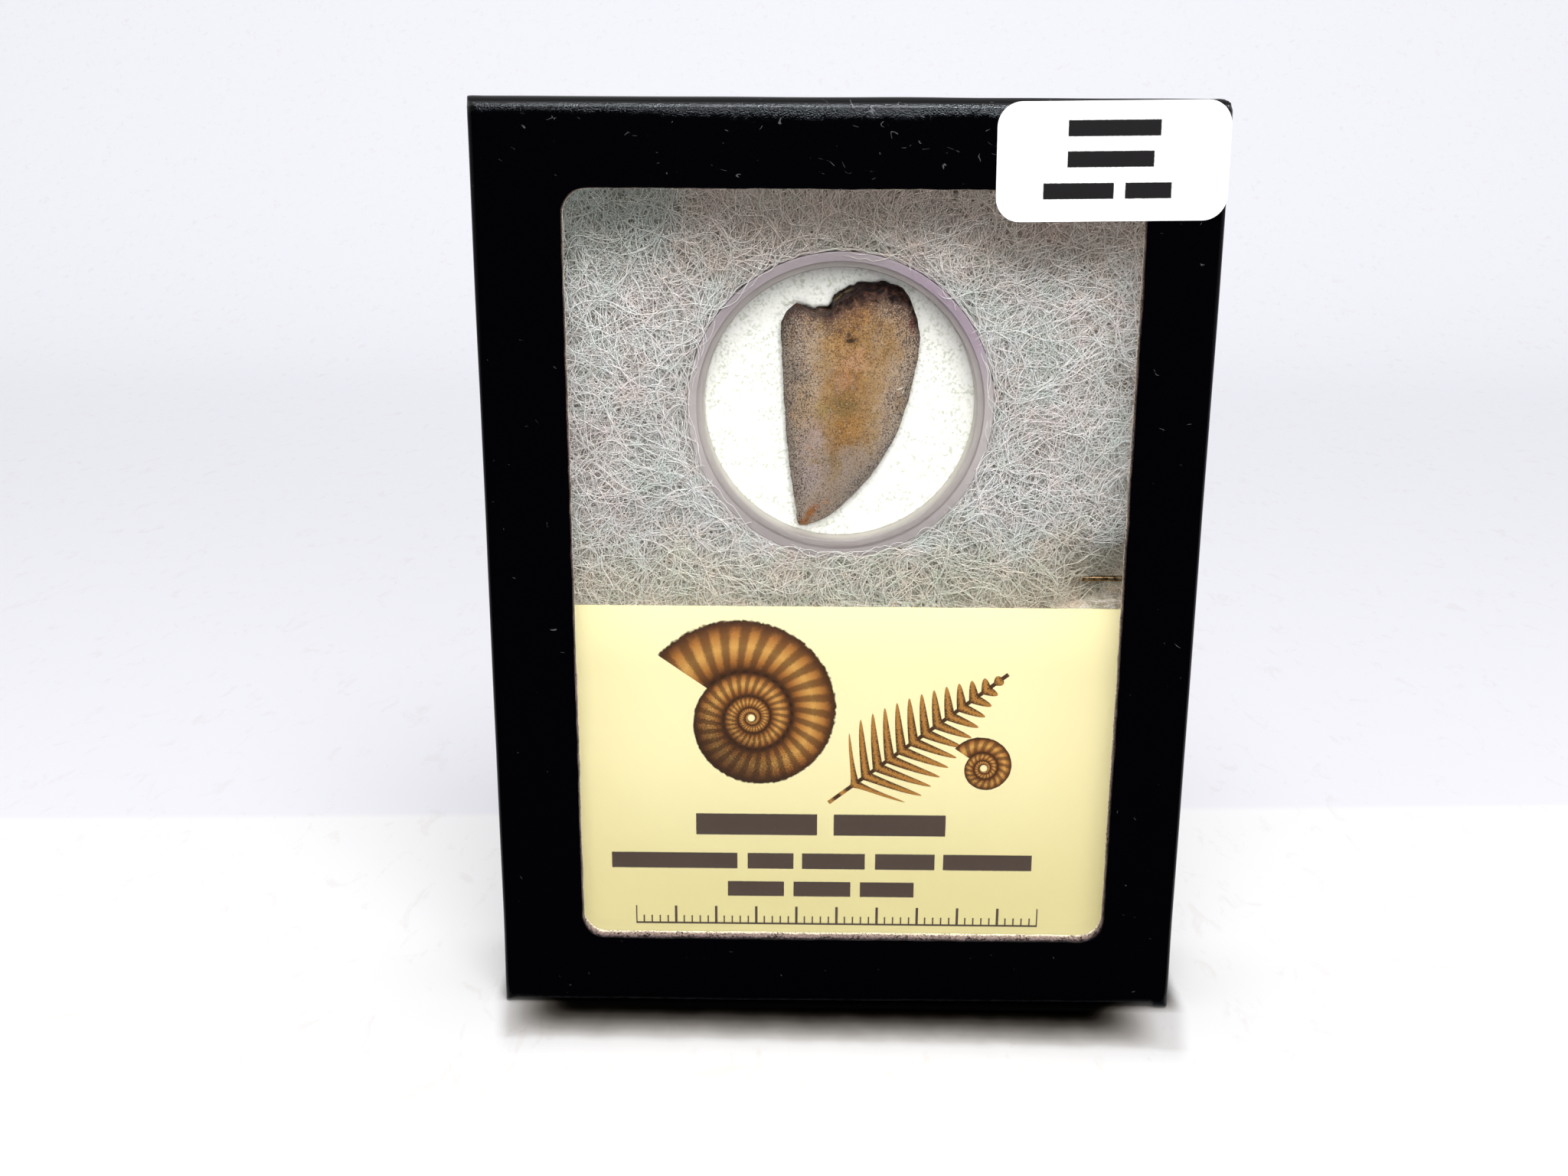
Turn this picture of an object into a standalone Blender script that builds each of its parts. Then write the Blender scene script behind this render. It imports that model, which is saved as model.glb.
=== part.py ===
"""Fossil raptor tooth in a closed display case that stands on its bottom edge.

The case is a card lid with a rounded window over a card tray, held by two pins.
Behind the glass a bed of batting holds a clear round jar, and the tooth lies on
the jar's foam pad. A printed card covers the lower half of the batting, and a
small label is stuck over the lid's top right corner.

Metres, +Z up, front towards -Y. The origin is the middle of the bounding box's
underside. Depths are counted from the lid's front face towards the back.
"""
import math

import bmesh
import bpy
from mathutils import Matrix, Vector

# Case: a standard 3 1/4 by 4 1/4 by 3/4 inch display box
INCH = 0.0254
CASE_WIDTH = 3.25 * INCH
CASE_HEIGHT = 4.25 * INCH
CASE_DEPTH = 0.75 * INCH
GAP = 0.0003                 # room between two pieces that touch
OVERSHOOT = 0.002            # how far a cutter runs past the face that it cuts

BOARD = 0.0015               # thickness of the lid's wrapped board
LID_EDGE_RADIUS = 0.0010
LID_SHORTFALL = 0.0005       # the tray's back stands this far behind the lid's walls

WINDOW_WIDTH = 0.0640
WINDOW_HEIGHT = 0.0892
WINDOW_CENTRE_X = 0.0006     # the window is cut slightly off centre
WINDOW_SILL = 0.0092
WINDOW_CORNER = 0.0029

GLASS_THICKNESS = 0.0020
GLASS_BEVEL = 0.0002

TRAY_WALL = 0.0012
TRAY_BACK = 0.0015

CARD_TOP = 0.0505
CARD_THICKNESS = 0.0004

LABEL_WIDTH = 0.0249
LABEL_HEIGHT = 0.0125
LABEL_CORNER = 0.0026
LABEL_THICKNESS = 0.0003
LABEL_CENTRE = (0.02838, 0.10136)
LABEL_TILT = math.radians(0.8)

# Jar: a clear cap pushed over a clear base, with a foam pad inside
JAR_CENTRE = (-0.0004, 0.0741)
JAR_RADIUS = 0.0175
JAR_HEIGHT = 0.0100
CAP_WALL = 0.0008
CAP_FACE = 0.0010
CAP_SKIRT = 0.0054
CAP_ROUNDING = 0.0005
BASE_WALL = 0.00065
BASE_FLOOR = 0.0007
FOAM_THICKNESS = 0.0045
FOAM_ROUNDING = 0.0010
JAR_STEPS = 60
WELL_STEPS = 36

# Pins through the side walls
PIN_RADIUS = 0.00035
PIN_LENGTH = 0.0170
PIN_POINT = 0.0020
PIN_HEAD_RADIUS = 0.0009
PIN_HEAD_HEIGHT = 0.00045
PIN_DEPTH = 0.0080
PIN_HEIGHT = 0.0533
PIN_STEPS = 12

# Batting: softly domed towards the glass
BATTING_FRONT = 0.0046
BATTING_ROLL_OFF = 0.0022    # how far its face sinks at the tray's walls
BATTING_CROWN = 5            # the higher, the closer to the walls the face sinks
BATTING_CELLS = (14, 18)

# Tooth: a blade lying with its tip down, its face towards the window
TOOTH_TIP = (-0.0046, 0.0594)
TOOTH_DEPTH = 0.0079
FRONT_SWELL = 0.0024
BACK_SWELL = 0.0021
TAPER_LENGTH = 0.0070        # the height over which the blade grows thick
EDGE_HALF = 0.00012          # half the thickness left at the two cutting edges
SWELL_FLATNESS = 2.1
SWELL_SHARPNESS = 0.82
SECTION_POINTS = 11
SECTION_LEVELS = 34
LEVEL_SPREAD = 1.35          # crowds the sections towards the tip
CROWN_REACH = 0.0300
POCKET_ROOM = 0.0004

# Points on the two cutting edges (across, up), counted from the tip's place
LEFT_EDGE = (
    (-0.00040, 0.0000), (-0.00068, 0.0007), (-0.00080, 0.0024), (-0.00125, 0.0053),
    (-0.00180, 0.0091), (-0.00215, 0.0139), (-0.00255, 0.0205), (-0.00280, 0.0300),
)
RIGHT_EDGE = (
    (0.00060, 0.0000), (0.0018, 0.0006), (0.0034, 0.0016), (0.0054, 0.0035),
    (0.0077, 0.0060), (0.0100, 0.0095), (0.0113, 0.0124), (0.0126, 0.0172),
    (0.0133, 0.0214), (0.0130, 0.0245), (0.0125, 0.0275), (0.0116, 0.0300),
)
# The broken end: a small bump, a notch, a step and a rounded lobe
BREAK_LINE = (
    (-0.0042, 0.0225), (-0.0027, 0.0240), (-0.0021, 0.0251), (-0.0009, 0.0261),
    (0.0002, 0.0256), (0.0013, 0.0252), (0.0027, 0.0255), (0.0032, 0.0265),
    (0.0051, 0.0276), (0.0069, 0.0282), (0.0099, 0.0283), (0.0113, 0.0279),
    (0.0121, 0.0268), (0.0130, 0.0245), (0.0150, 0.0215),
)
BREAK_SLOPE = 0.20           # the broken face rises towards the back
BREAK_ROWS = 6
BREAK_RELIEF = 0.00018       # height of the ripples on the broken face
BREAK_RIPPLES = (2600.0, 1900.0)

# A small pit in the front of the tooth
PIT_CENTRE = (0.0053, 0.0220)
PIT_RADIUS = 0.0006
PIT_DEPTH = 0.0003

# Depths of the faces, from the front to the back
LABEL_FRONT = -(GAP + LABEL_THICKNESS)
GLASS_FRONT = BOARD + GAP
GLASS_BACK = GLASS_FRONT + GLASS_THICKNESS
INSIDE_FRONT = GLASS_BACK + GAP
TRAY_FLOOR = CASE_DEPTH - TRAY_BACK
CARD_BACK = INSIDE_FRONT + CARD_THICKNESS
JAR_BACK = INSIDE_FRONT + JAR_HEIGHT
FOAM_BACK = JAR_BACK - BASE_FLOOR - GAP
FOAM_FRONT = FOAM_BACK - FOAM_THICKNESS
BATTING_BACK = TRAY_FLOOR - GAP

# The depth that lies on y = 0, which centres the bounding box
MIDDLE_DEPTH = (CASE_DEPTH + LABEL_FRONT) / 2

# Nested widths and heights, from the lid inwards
LID_INNER_HALF = CASE_WIDTH / 2 - BOARD
TRAY_HALF = LID_INNER_HALF - GAP
TRAY_BOTTOM = BOARD + GAP
TRAY_TOP = CASE_HEIGHT - TRAY_BOTTOM
TRAY_INNER_HALF = TRAY_HALF - TRAY_WALL
TRAY_INNER_BOTTOM = TRAY_BOTTOM + TRAY_WALL
FILL_HALF = TRAY_INNER_HALF - GAP
FILL_BOTTOM = TRAY_INNER_BOTTOM + GAP
FILL_TOP = CASE_HEIGHT - FILL_BOTTOM


def y_at(depth):
    """The y of a depth behind the lid's front face."""
    return depth - MIDDLE_DEPTH


def clear_scene():
    for old in list(bpy.data.objects):
        bpy.data.objects.remove(old, do_unlink=True)


def make_material(name, colour, roughness, metallic=0.0, transmission=0.0, ior=1.45):
    made = bpy.data.materials.new(name)
    made.use_nodes = True
    shader = made.node_tree.nodes["Principled BSDF"]
    shader.inputs["Base Color"].default_value = (*colour, 1.0)
    shader.inputs["Roughness"].default_value = roughness
    shader.inputs["Metallic"].default_value = metallic
    shader.inputs["Transmission Weight"].default_value = transmission
    shader.inputs["IOR"].default_value = ior
    made.diffuse_color = (*colour, 1.0)
    return made


def object_from(name, bm, material=None, smooth_angle=None):
    mesh = bpy.data.meshes.new(name)
    bm.to_mesh(mesh)
    bm.free()
    if smooth_angle is not None:
        mesh.shade_smooth()
        mesh.set_sharp_from_angle(angle=math.radians(smooth_angle))
    made = bpy.data.objects.new(name, mesh)
    bpy.context.scene.collection.objects.link(made)
    if material is not None:
        mesh.materials.append(material)
    return made


def cutter_from(name, bm):
    made = object_from(name, bm)
    made.hide_render = True
    made.display_type = "WIRE"
    return made


def cut(target, *cutters):
    for cutter in cutters:
        step = target.modifiers.new("cut by " + cutter.name, "BOOLEAN")
        step.operation = "DIFFERENCE"
        step.solver = "EXACT"
        step.object = cutter


def extruded_verts(bm, faces):
    """Extrude faces and give the new vertices, ready to be moved."""
    grown = bmesh.ops.extrude_face_region(bm, geom=faces)
    return [item for item in grown["geom"] if isinstance(item, bmesh.types.BMVert)]


def case_block(half_width, bottom, top, front, back):
    """A box given by the case's own measures: half width, heights and depths."""
    low = Vector((-half_width, y_at(front), bottom))
    high = Vector((half_width, y_at(back), top))
    size = Matrix.Diagonal((*(high - low), 1.0))
    bm = bmesh.new()
    bmesh.ops.create_cube(bm, size=1.0, matrix=Matrix.Translation((low + high) / 2) @ size)
    return bm


def rounded_slab(width, height, corner, front, back, corner_steps=6):
    """A flat plate across X and Z with round corners, centred on x = 0 and z = 0."""
    bm = bmesh.new()
    ring = []
    for quarter, (side_x, side_z) in enumerate(((1, 1), (-1, 1), (-1, -1), (1, -1))):
        for step in range(corner_steps + 1):
            angle = (quarter + step / corner_steps) * math.pi / 2
            x = side_x * (width / 2 - corner) + corner * math.cos(angle)
            z = side_z * (height / 2 - corner) + corner * math.sin(angle)
            ring.append(bm.verts.new((x, y_at(front), z)))
    bmesh.ops.translate(
        bm, verts=extruded_verts(bm, [bm.faces.new(ring)]), vec=(0.0, back - front, 0.0)
    )
    bmesh.ops.recalc_face_normals(bm, faces=bm.faces)
    return bm


def turned_mesh(points, axis_point, axis, steps):
    """Spin a profile, whose first and last points lie on the axis, into a solid."""
    bm = bmesh.new()
    verts = [bm.verts.new(point) for point in points]
    edges = [bm.edges.new(pair) for pair in zip(verts, verts[1:])]
    bmesh.ops.spin(
        bm, geom=verts + edges, cent=axis_point, axis=axis,
        angle=math.tau, steps=steps, use_merge=True,
    )
    bmesh.ops.remove_doubles(bm, verts=bm.verts, dist=1e-6)
    bmesh.ops.recalc_face_normals(bm, faces=bm.faces)
    return bm


def turned_in_jar(profile, steps=JAR_STEPS):
    """A piece turned about the jar's axis, from (radius, depth) points."""
    centre_x, centre_z = JAR_CENTRE
    points = [(centre_x + radius, y_at(depth), centre_z) for radius, depth in profile]
    return turned_mesh(points, (centre_x, 0.0, centre_z), (0.0, 1.0, 0.0), steps)


def turned_on_pin(profile, side, steps=PIN_STEPS):
    """A piece turned about a pin's axis, from (distance from the middle, radius) points."""
    y = y_at(PIN_DEPTH)
    points = [(side * across, y, PIN_HEIGHT + radius) for across, radius in profile]
    return turned_mesh(points, (0.0, y, PIN_HEIGHT), (1.0, 0.0, 0.0), steps)


def rounded_rim(radius, depth, rounding, steps=4):
    """Profile points round a front outer edge, from the flat face to the wall."""
    points = []
    for step in range(steps + 1):
        angle = step / steps * math.pi / 2
        across = radius - rounding + rounding * math.sin(angle)
        points.append((across, depth + rounding - rounding * math.cos(angle)))
    return points


def across_at(points, height):
    """How far across a smooth curve through the points lies at a height."""
    last = len(points) - 1
    place = 0
    while place < last - 1 and points[place + 1][1] < height:
        place += 1
    before = points[max(place - 1, 0)]
    start = points[place]
    end = points[place + 1]
    after = points[min(place + 2, last)]
    span = end[1] - start[1]
    leaving = span * (end[0] - before[0]) / (end[1] - before[1])
    arriving = span * (after[0] - start[0]) / (after[1] - start[1])
    t = min(max((height - start[1]) / span, 0.0), 1.0)
    ease = t * t * (3 - 2 * t)
    return (
        start[0] + (end[0] - start[0]) * ease
        + leaving * t * (1 - t) ** 2 - arriving * t * t * (1 - t)
    )


def swell_share(across_share):
    """How much of the full swell a section has, from 0 on an edge to 1 midway."""
    off_middle = abs(2 * across_share - 1)
    return (1 - off_middle**SWELL_FLATNESS) ** SWELL_SHARPNESS


def crown_section(bm, height, grow):
    """One lens-shaped ring round the blade, as vertices in order."""
    left = across_at(LEFT_EDGE, height) - grow
    right = across_at(RIGHT_EDGE, height) + grow
    fullness = 1 - math.exp(-height / TAPER_LENGTH)
    z = TOOTH_TIP[1] + height - (grow if height == 0 else 0.0)
    ring = []
    for side, swell in ((-1, FRONT_SWELL), (1, BACK_SWELL)):
        for step in range(SECTION_POINTS):
            angle = math.pi * (step + 0.5) / SECTION_POINTS
            share = (1 + side * math.cos(angle)) / 2
            half = EDGE_HALF + grow + swell * fullness * swell_share(share)
            x = TOOTH_TIP[0] + left + (right - left) * share
            ring.append(bm.verts.new((x, y_at(TOOTH_DEPTH) + side * half, z)))
    return ring


def crown_mesh(grow=0.0):
    """The whole blade before it was broken, as sections from the tip to the base."""
    bm = bmesh.new()
    rings = []
    for level in range(SECTION_LEVELS + 1):
        height = CROWN_REACH * (level / SECTION_LEVELS) ** LEVEL_SPREAD
        rings.append(crown_section(bm, height, grow))
    for lower, upper in zip(rings, rings[1:]):
        for place in range(len(lower)):
            beside = (place + 1) % len(lower)
            bm.faces.new((lower[place], lower[beside], upper[beside], upper[place]))
    bm.faces.new(rings[0])
    bm.faces.new(rings[-1])
    bmesh.ops.recalc_face_normals(bm, faces=bm.faces)
    return bm


def break_mesh():
    """The space above the broken end, whose rippled underside is the fracture."""
    bm = bmesh.new()
    reach = 2 * max(FRONT_SWELL, BACK_SWELL)
    ripple_x, ripple_y = BREAK_RIPPLES
    rows = []
    for row in range(BREAK_ROWS + 1):
        offset = reach * (2 * row / BREAK_ROWS - 1)
        line = []
        for x, z in BREAK_LINE:
            relief = BREAK_RELIEF * math.sin(ripple_x * x + ripple_y * offset)
            height = TOOTH_TIP[1] + z + BREAK_SLOPE * offset + relief
            line.append(bm.verts.new((TOOTH_TIP[0] + x, y_at(TOOTH_DEPTH) + offset, height)))
        rows.append(line)
    for near, far in zip(rows, rows[1:]):
        for place in range(len(near) - 1):
            bm.faces.new((near[place], near[place + 1], far[place + 1], far[place]))
    lifted = extruded_verts(bm, list(bm.faces))
    bmesh.ops.translate(bm, verts=lifted, vec=(0.0, 0.0, 2 * reach))
    bmesh.ops.recalc_face_normals(bm, faces=bm.faces)
    return bm


def pit_mesh():
    """A small ball that leaves a shallow pit in the tooth's front."""
    x, height = PIT_CENTRE
    left = across_at(LEFT_EDGE, height)
    share = (x - left) / (across_at(RIGHT_EDGE, height) - left)
    fullness = 1 - math.exp(-height / TAPER_LENGTH)
    surface = TOOTH_DEPTH - EDGE_HALF - FRONT_SWELL * fullness * swell_share(share)
    ball_depth = surface + PIT_DEPTH - PIT_RADIUS
    place = (TOOTH_TIP[0] + x, y_at(ball_depth), TOOTH_TIP[1] + height)
    bm = bmesh.new()
    bmesh.ops.create_uvsphere(
        bm, u_segments=14, v_segments=9, radius=PIT_RADIUS, matrix=Matrix.Translation(place)
    )
    return bm


def make_lid(material, pin_holes):
    back = CASE_DEPTH - LID_SHORTFALL
    bm = case_block(CASE_WIDTH / 2, 0.0, CASE_HEIGHT, 0.0, back)
    middle = y_at(back / 2)
    rounded = [edge for edge in bm.edges if min(v.co.y for v in edge.verts) < middle]
    bmesh.ops.bevel(
        bm, geom=rounded, offset=LID_EDGE_RADIUS, segments=3, profile=0.5, affect="EDGES"
    )
    lid = object_from("lid_frame", bm, material, smooth_angle=35)
    hollow = cutter_from("lid_hollow", case_block(
        LID_INNER_HALF, BOARD, CASE_HEIGHT - BOARD, BOARD, CASE_DEPTH + OVERSHOOT
    ))
    window = cutter_from("lid_window", rounded_slab(
        WINDOW_WIDTH, WINDOW_HEIGHT, WINDOW_CORNER, -OVERSHOOT, BOARD + OVERSHOOT
    ))
    window.location = (WINDOW_CENTRE_X, 0.0, WINDOW_SILL + WINDOW_HEIGHT / 2)
    cut(lid, hollow, window, *pin_holes)


def make_glass(material):
    bm = case_block(TRAY_HALF, TRAY_BOTTOM, TRAY_TOP, GLASS_FRONT, GLASS_BACK)
    bmesh.ops.bevel(bm, geom=list(bm.edges), offset=GLASS_BEVEL, segments=1, affect="EDGES")
    object_from("glass_pane", bm, material)


def make_tray(material, pin_holes):
    bm = case_block(TRAY_HALF, TRAY_BOTTOM, TRAY_TOP, INSIDE_FRONT, CASE_DEPTH)
    hollow = cutter_from("tray_hollow", case_block(
        TRAY_INNER_HALF, TRAY_INNER_BOTTOM, CASE_HEIGHT - TRAY_INNER_BOTTOM,
        INSIDE_FRONT - OVERSHOOT, TRAY_FLOOR,
    ))
    cut(object_from("tray", bm, material), hollow, *pin_holes)


def make_batting(material, pin_holes):
    """A soft slab with a well for the jar and a step for the card."""
    columns, rows = BATTING_CELLS
    bm = bmesh.new()
    bmesh.ops.create_grid(bm, x_segments=columns, y_segments=rows, size=1.0)
    middle = (FILL_BOTTOM + FILL_TOP) / 2
    half_height = (FILL_TOP - FILL_BOTTOM) / 2
    for vert in bm.verts:
        across, up, _ = vert.co
        sink = BATTING_ROLL_OFF * max(abs(across), abs(up)) ** BATTING_CROWN
        vert.co = (across * FILL_HALF, y_at(BATTING_FRONT + sink), middle + up * half_height)
    for vert in extruded_verts(bm, list(bm.faces)):
        vert.co.y = y_at(BATTING_BACK)
    bmesh.ops.dissolve_limit(
        bm, angle_limit=math.radians(1), verts=bm.verts, edges=bm.edges
    )
    bmesh.ops.recalc_face_normals(bm, faces=bm.faces)
    batting = object_from("batting", bm, material, smooth_angle=40)
    room = JAR_RADIUS + GAP
    back = JAR_BACK + GAP
    well = cutter_from("batting_well", turned_in_jar(
        [(0.0, -OVERSHOOT), (room, -OVERSHOOT), (room, back), (0.0, back)], WELL_STEPS
    ))
    step = cutter_from("batting_step", case_block(
        CASE_WIDTH, -OVERSHOOT, CARD_TOP + GAP, -OVERSHOOT, CARD_BACK + GAP
    ))
    cut(batting, well, step, *pin_holes)


def make_jar_cap(material):
    inner = JAR_RADIUS - CAP_WALL
    skirt_end = INSIDE_FRONT + CAP_SKIRT
    face_back = INSIDE_FRONT + CAP_FACE
    profile = [
        (0.0, INSIDE_FRONT), *rounded_rim(JAR_RADIUS, INSIDE_FRONT, CAP_ROUNDING),
        (JAR_RADIUS, skirt_end), (inner, skirt_end), (inner, face_back), (0.0, face_back),
    ]
    object_from("jar_cap", turned_in_jar(profile), material, smooth_angle=35)


def make_jar_base(material):
    neck = JAR_RADIUS - CAP_WALL - GAP
    inner = neck - BASE_WALL
    rim = INSIDE_FRONT + CAP_FACE + GAP
    shoulder = INSIDE_FRONT + CAP_SKIRT + GAP
    floor = JAR_BACK - BASE_FLOOR
    profile = [
        (0.0, floor), (inner, floor), (inner, rim), (neck, rim), (neck, shoulder),
        (JAR_RADIUS, shoulder), (JAR_RADIUS, JAR_BACK), (0.0, JAR_BACK),
    ]
    object_from("jar_base", turned_in_jar(profile), material, smooth_angle=35)


def make_foam(material):
    """A round pad with a pocket in which the tooth lies."""
    radius = JAR_RADIUS - CAP_WALL - GAP - BASE_WALL - GAP
    profile = [
        (0.0, FOAM_FRONT), *rounded_rim(radius, FOAM_FRONT, FOAM_ROUNDING),
        (radius, FOAM_BACK), (0.0, FOAM_BACK),
    ]
    foam = object_from("foam_pad", turned_in_jar(profile), material, smooth_angle=35)
    cut(foam, cutter_from("foam_pocket", crown_mesh(POCKET_ROOM)))


def make_tooth(material):
    tooth = object_from("tooth", crown_mesh(), material, smooth_angle=50)
    cut(tooth, cutter_from("tooth_break", break_mesh()), cutter_from("tooth_pit", pit_mesh()))


def make_card(material):
    bm = case_block(FILL_HALF, FILL_BOTTOM, CARD_TOP, INSIDE_FRONT, CARD_BACK)
    object_from("info_card", bm, material)


def make_label(material):
    bm = rounded_slab(
        LABEL_WIDTH, LABEL_HEIGHT, LABEL_CORNER, LABEL_FRONT, LABEL_FRONT + LABEL_THICKNESS
    )
    label = object_from("corner_label", bm, material)
    label.location = (LABEL_CENTRE[0], 0.0, LABEL_CENTRE[1])
    label.rotation_euler = (0.0, -LABEL_TILT, 0.0)


def make_pin(name, side, material):
    """A straight pin, pointed inside the case and flat-headed outside it."""
    head = CASE_WIDTH / 2 + GAP
    point = head - PIN_LENGTH
    profile = [
        (point, 0.0), (point + PIN_POINT, PIN_RADIUS), (head, PIN_RADIUS),
        (head, PIN_HEAD_RADIUS), (head + PIN_HEAD_HEIGHT, PIN_HEAD_RADIUS),
        (head + PIN_HEAD_HEIGHT, 0.0),
    ]
    object_from(name, turned_on_pin(profile, side), material, smooth_angle=40)


def pin_hole(name, side):
    """Room round a pin, from inside the batting to beyond the lid's wall."""
    radius = PIN_RADIUS + GAP
    inner_end = CASE_WIDTH / 2 - PIN_LENGTH - GAP
    outer_end = CASE_WIDTH / 2 + OVERSHOOT
    profile = [(inner_end, 0.0), (inner_end, radius), (outer_end, radius), (outer_end, 0.0)]
    return cutter_from(name, turned_on_pin(profile, side))


def main():
    clear_scene()
    wrap = make_material("black wrapped board", (0.006, 0.006, 0.007), 0.35)
    board = make_material("black card", (0.010, 0.010, 0.011), 0.60)
    glass = make_material("glass", (0.95, 0.98, 0.97), 0.02, transmission=1.0, ior=1.5)
    wool = make_material("batting", (0.72, 0.72, 0.69), 0.95)
    clear = make_material("clear plastic", (0.88, 0.83, 0.92), 0.06, transmission=1.0)
    foam = make_material("white foam", (0.90, 0.91, 0.90), 0.90)
    enamel = make_material("fossil enamel", (0.36, 0.24, 0.14), 0.35)
    cream = make_material("cream card", (0.88, 0.82, 0.56), 0.70)
    paper = make_material("white label", (0.93, 0.93, 0.93), 0.55)
    steel = make_material("pin steel", (0.42, 0.36, 0.28), 0.30, metallic=1.0)

    pin_holes = [pin_hole("pin_hole_left", -1), pin_hole("pin_hole_right", 1)]
    make_lid(wrap, pin_holes)
    make_glass(glass)
    make_tray(board, pin_holes)
    make_batting(wool, pin_holes)
    make_jar_cap(clear)
    make_jar_base(clear)
    make_foam(foam)
    make_tooth(enamel)
    make_card(cream)
    make_label(paper)
    make_pin("pin_left", -1, steel)
    make_pin("pin_right", 1, steel)


main()
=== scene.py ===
import math

import bmesh
import bpy
import numpy as np
from mathutils import Matrix, Vector, noise
from mathutils.bvhtree import BVHTree


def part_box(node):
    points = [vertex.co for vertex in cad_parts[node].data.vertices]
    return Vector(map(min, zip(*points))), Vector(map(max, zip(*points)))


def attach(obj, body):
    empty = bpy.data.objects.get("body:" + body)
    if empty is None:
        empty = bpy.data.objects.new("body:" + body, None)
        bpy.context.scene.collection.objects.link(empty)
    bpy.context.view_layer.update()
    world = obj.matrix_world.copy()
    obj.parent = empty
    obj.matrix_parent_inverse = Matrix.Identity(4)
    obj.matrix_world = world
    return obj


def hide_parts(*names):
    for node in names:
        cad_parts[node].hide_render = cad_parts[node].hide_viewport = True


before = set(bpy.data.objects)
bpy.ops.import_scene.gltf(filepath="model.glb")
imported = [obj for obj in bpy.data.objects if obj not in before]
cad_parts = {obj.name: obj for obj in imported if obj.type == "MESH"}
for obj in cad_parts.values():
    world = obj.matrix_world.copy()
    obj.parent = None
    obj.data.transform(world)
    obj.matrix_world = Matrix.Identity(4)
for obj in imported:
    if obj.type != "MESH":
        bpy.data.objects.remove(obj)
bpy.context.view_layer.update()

MM = 0.001

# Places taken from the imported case, and measures kept in step with it

LID_LOW, LID_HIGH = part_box("lid_frame")
TRAY_LOW, TRAY_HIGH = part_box("tray")
CARD_LOW, CARD_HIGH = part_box("info_card")
FOAM_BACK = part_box("foam_pad")[1].y

FRONT = LID_LOW.y                    # the lid's front face; depths are measured from it
BOARD = 1.5 * MM
PAPER_ROUNDING = 1.2 * MM
WINDOW_LOW = (-31.25 * MM, 9.2 * MM)
WINDOW_HIGH = (32.6 * MM, 98.4 * MM)
WINDOW_CORNER = 2.9 * MM

JAR_X = -0.4 * MM
JAR_Z = 74.1 * MM
JAR_CENTRE = (JAR_X, FRONT, JAR_Z)
JAR_RADIUS = 17.5 * MM
NECK_RADIUS = 16.6 * MM
CAP_FRONT = 4.1 * MM
CAP_FACE = 1.0 * MM
CAP_WALL = 0.8 * MM
SKIRT_END = 9.5 * MM
RIM_DEPTH = 5.4 * MM
SHOULDER_DEPTH = 9.8 * MM
JAR_FLOOR = 13.4 * MM
JAR_BACK = 14.1 * MM
FOAM_RADIUS = 15.85 * MM
FOAM_FRONT = 8.6 * MM

TIP_X = -4.6 * MM
TIP_Z = 59.4 * MM
TOOTH_DEPTH = 7.9 * MM
FRONT_SWELL = 2.4
BACK_SWELL = 2.1
EDGE_HALF = 0.12
TAPER = 7.0

LABEL_CENTRE = (28.38 * MM, 0, 101.36 * MM)
LABEL_TILT = -math.radians(0.8)

PIN_DEPTH = 8.0 * MM
PIN_HEIGHT = 53.3 * MM

CAMERA_PLACE = (-0.00465, -0.180825, 0.09918)
CAMERA_YAW, CAMERA_PITCH, CAMERA_ROLL = 0.681, 14.829, 0.268
LENS_LENGTH = 35.30


def at_depth(depth):
    """Row Y of a depth behind the lid's front face."""
    return FRONT + depth


# Modelling by hand

def put_down():
    """Leave edit mode and pick nothing."""
    held = bpy.context.view_layer.objects.active
    if held is not None and held.mode != "OBJECT":
        bpy.ops.object.mode_set(mode="OBJECT")
    bpy.ops.object.select_all(action="DESELECT")


def pick_up(piece):
    """Make one piece the only one picked."""
    put_down()
    piece.select_set(True)
    bpy.context.view_layer.objects.active = piece


def open_mesh(piece, kind="FACE"):
    pick_up(piece)
    bpy.ops.object.mode_set(mode="EDIT")
    bpy.ops.mesh.select_mode(type=kind)
    bpy.ops.mesh.select_all(action="DESELECT")


def close_mesh():
    bpy.ops.object.mode_set(mode="OBJECT")


def choose_all():
    bpy.ops.mesh.select_all(action="SELECT")


def choose(piece, kind, test):
    """Pick the faces, edges or vertices of the open mesh that pass a test."""
    mesh = bmesh.from_edit_mesh(piece.data)
    for item in getattr(mesh, kind):
        item.select_set(bool(test(item)))
    mesh.select_flush_mode()
    bmesh.update_edit_mesh(piece.data)


def in_front_of(place):
    """A test for edges that lie wholly in front of a place."""
    return lambda edge: max(v.co.y for v in edge.verts) < place


def runs_back(length):
    """A test for edges that run front to back over more than a length."""
    return lambda edge: abs(edge.verts[0].co.y - edge.verts[1].co.y) > length


def settle(piece):
    """Fix a piece's place, turn and scale into its mesh."""
    pick_up(piece)
    bpy.ops.object.transform_apply(location=True, rotation=True, scale=True)


def fresh(name):
    """The primitive just added, under its own name."""
    piece = bpy.context.view_layer.objects.active
    piece.name = name
    piece.data.name = name
    return piece


def block(name, low, high):
    low, high = Vector(low), Vector(high)
    put_down()
    bpy.ops.mesh.primitive_cube_add(size=1, location=(low + high) / 2)
    piece = fresh(name)
    piece.scale = high - low
    settle(piece)
    return piece


def bevel(offset, segments, kind="EDGES"):
    """Round off what is picked in the open mesh."""
    bpy.ops.mesh.bevel(offset=offset, segments=segments, affect=kind)


def pull(x, y, z):
    """Extrude what is picked in the open mesh."""
    bpy.ops.mesh.extrude_region_move(TRANSFORM_OT_translate={"value": (x, y, z)})


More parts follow.
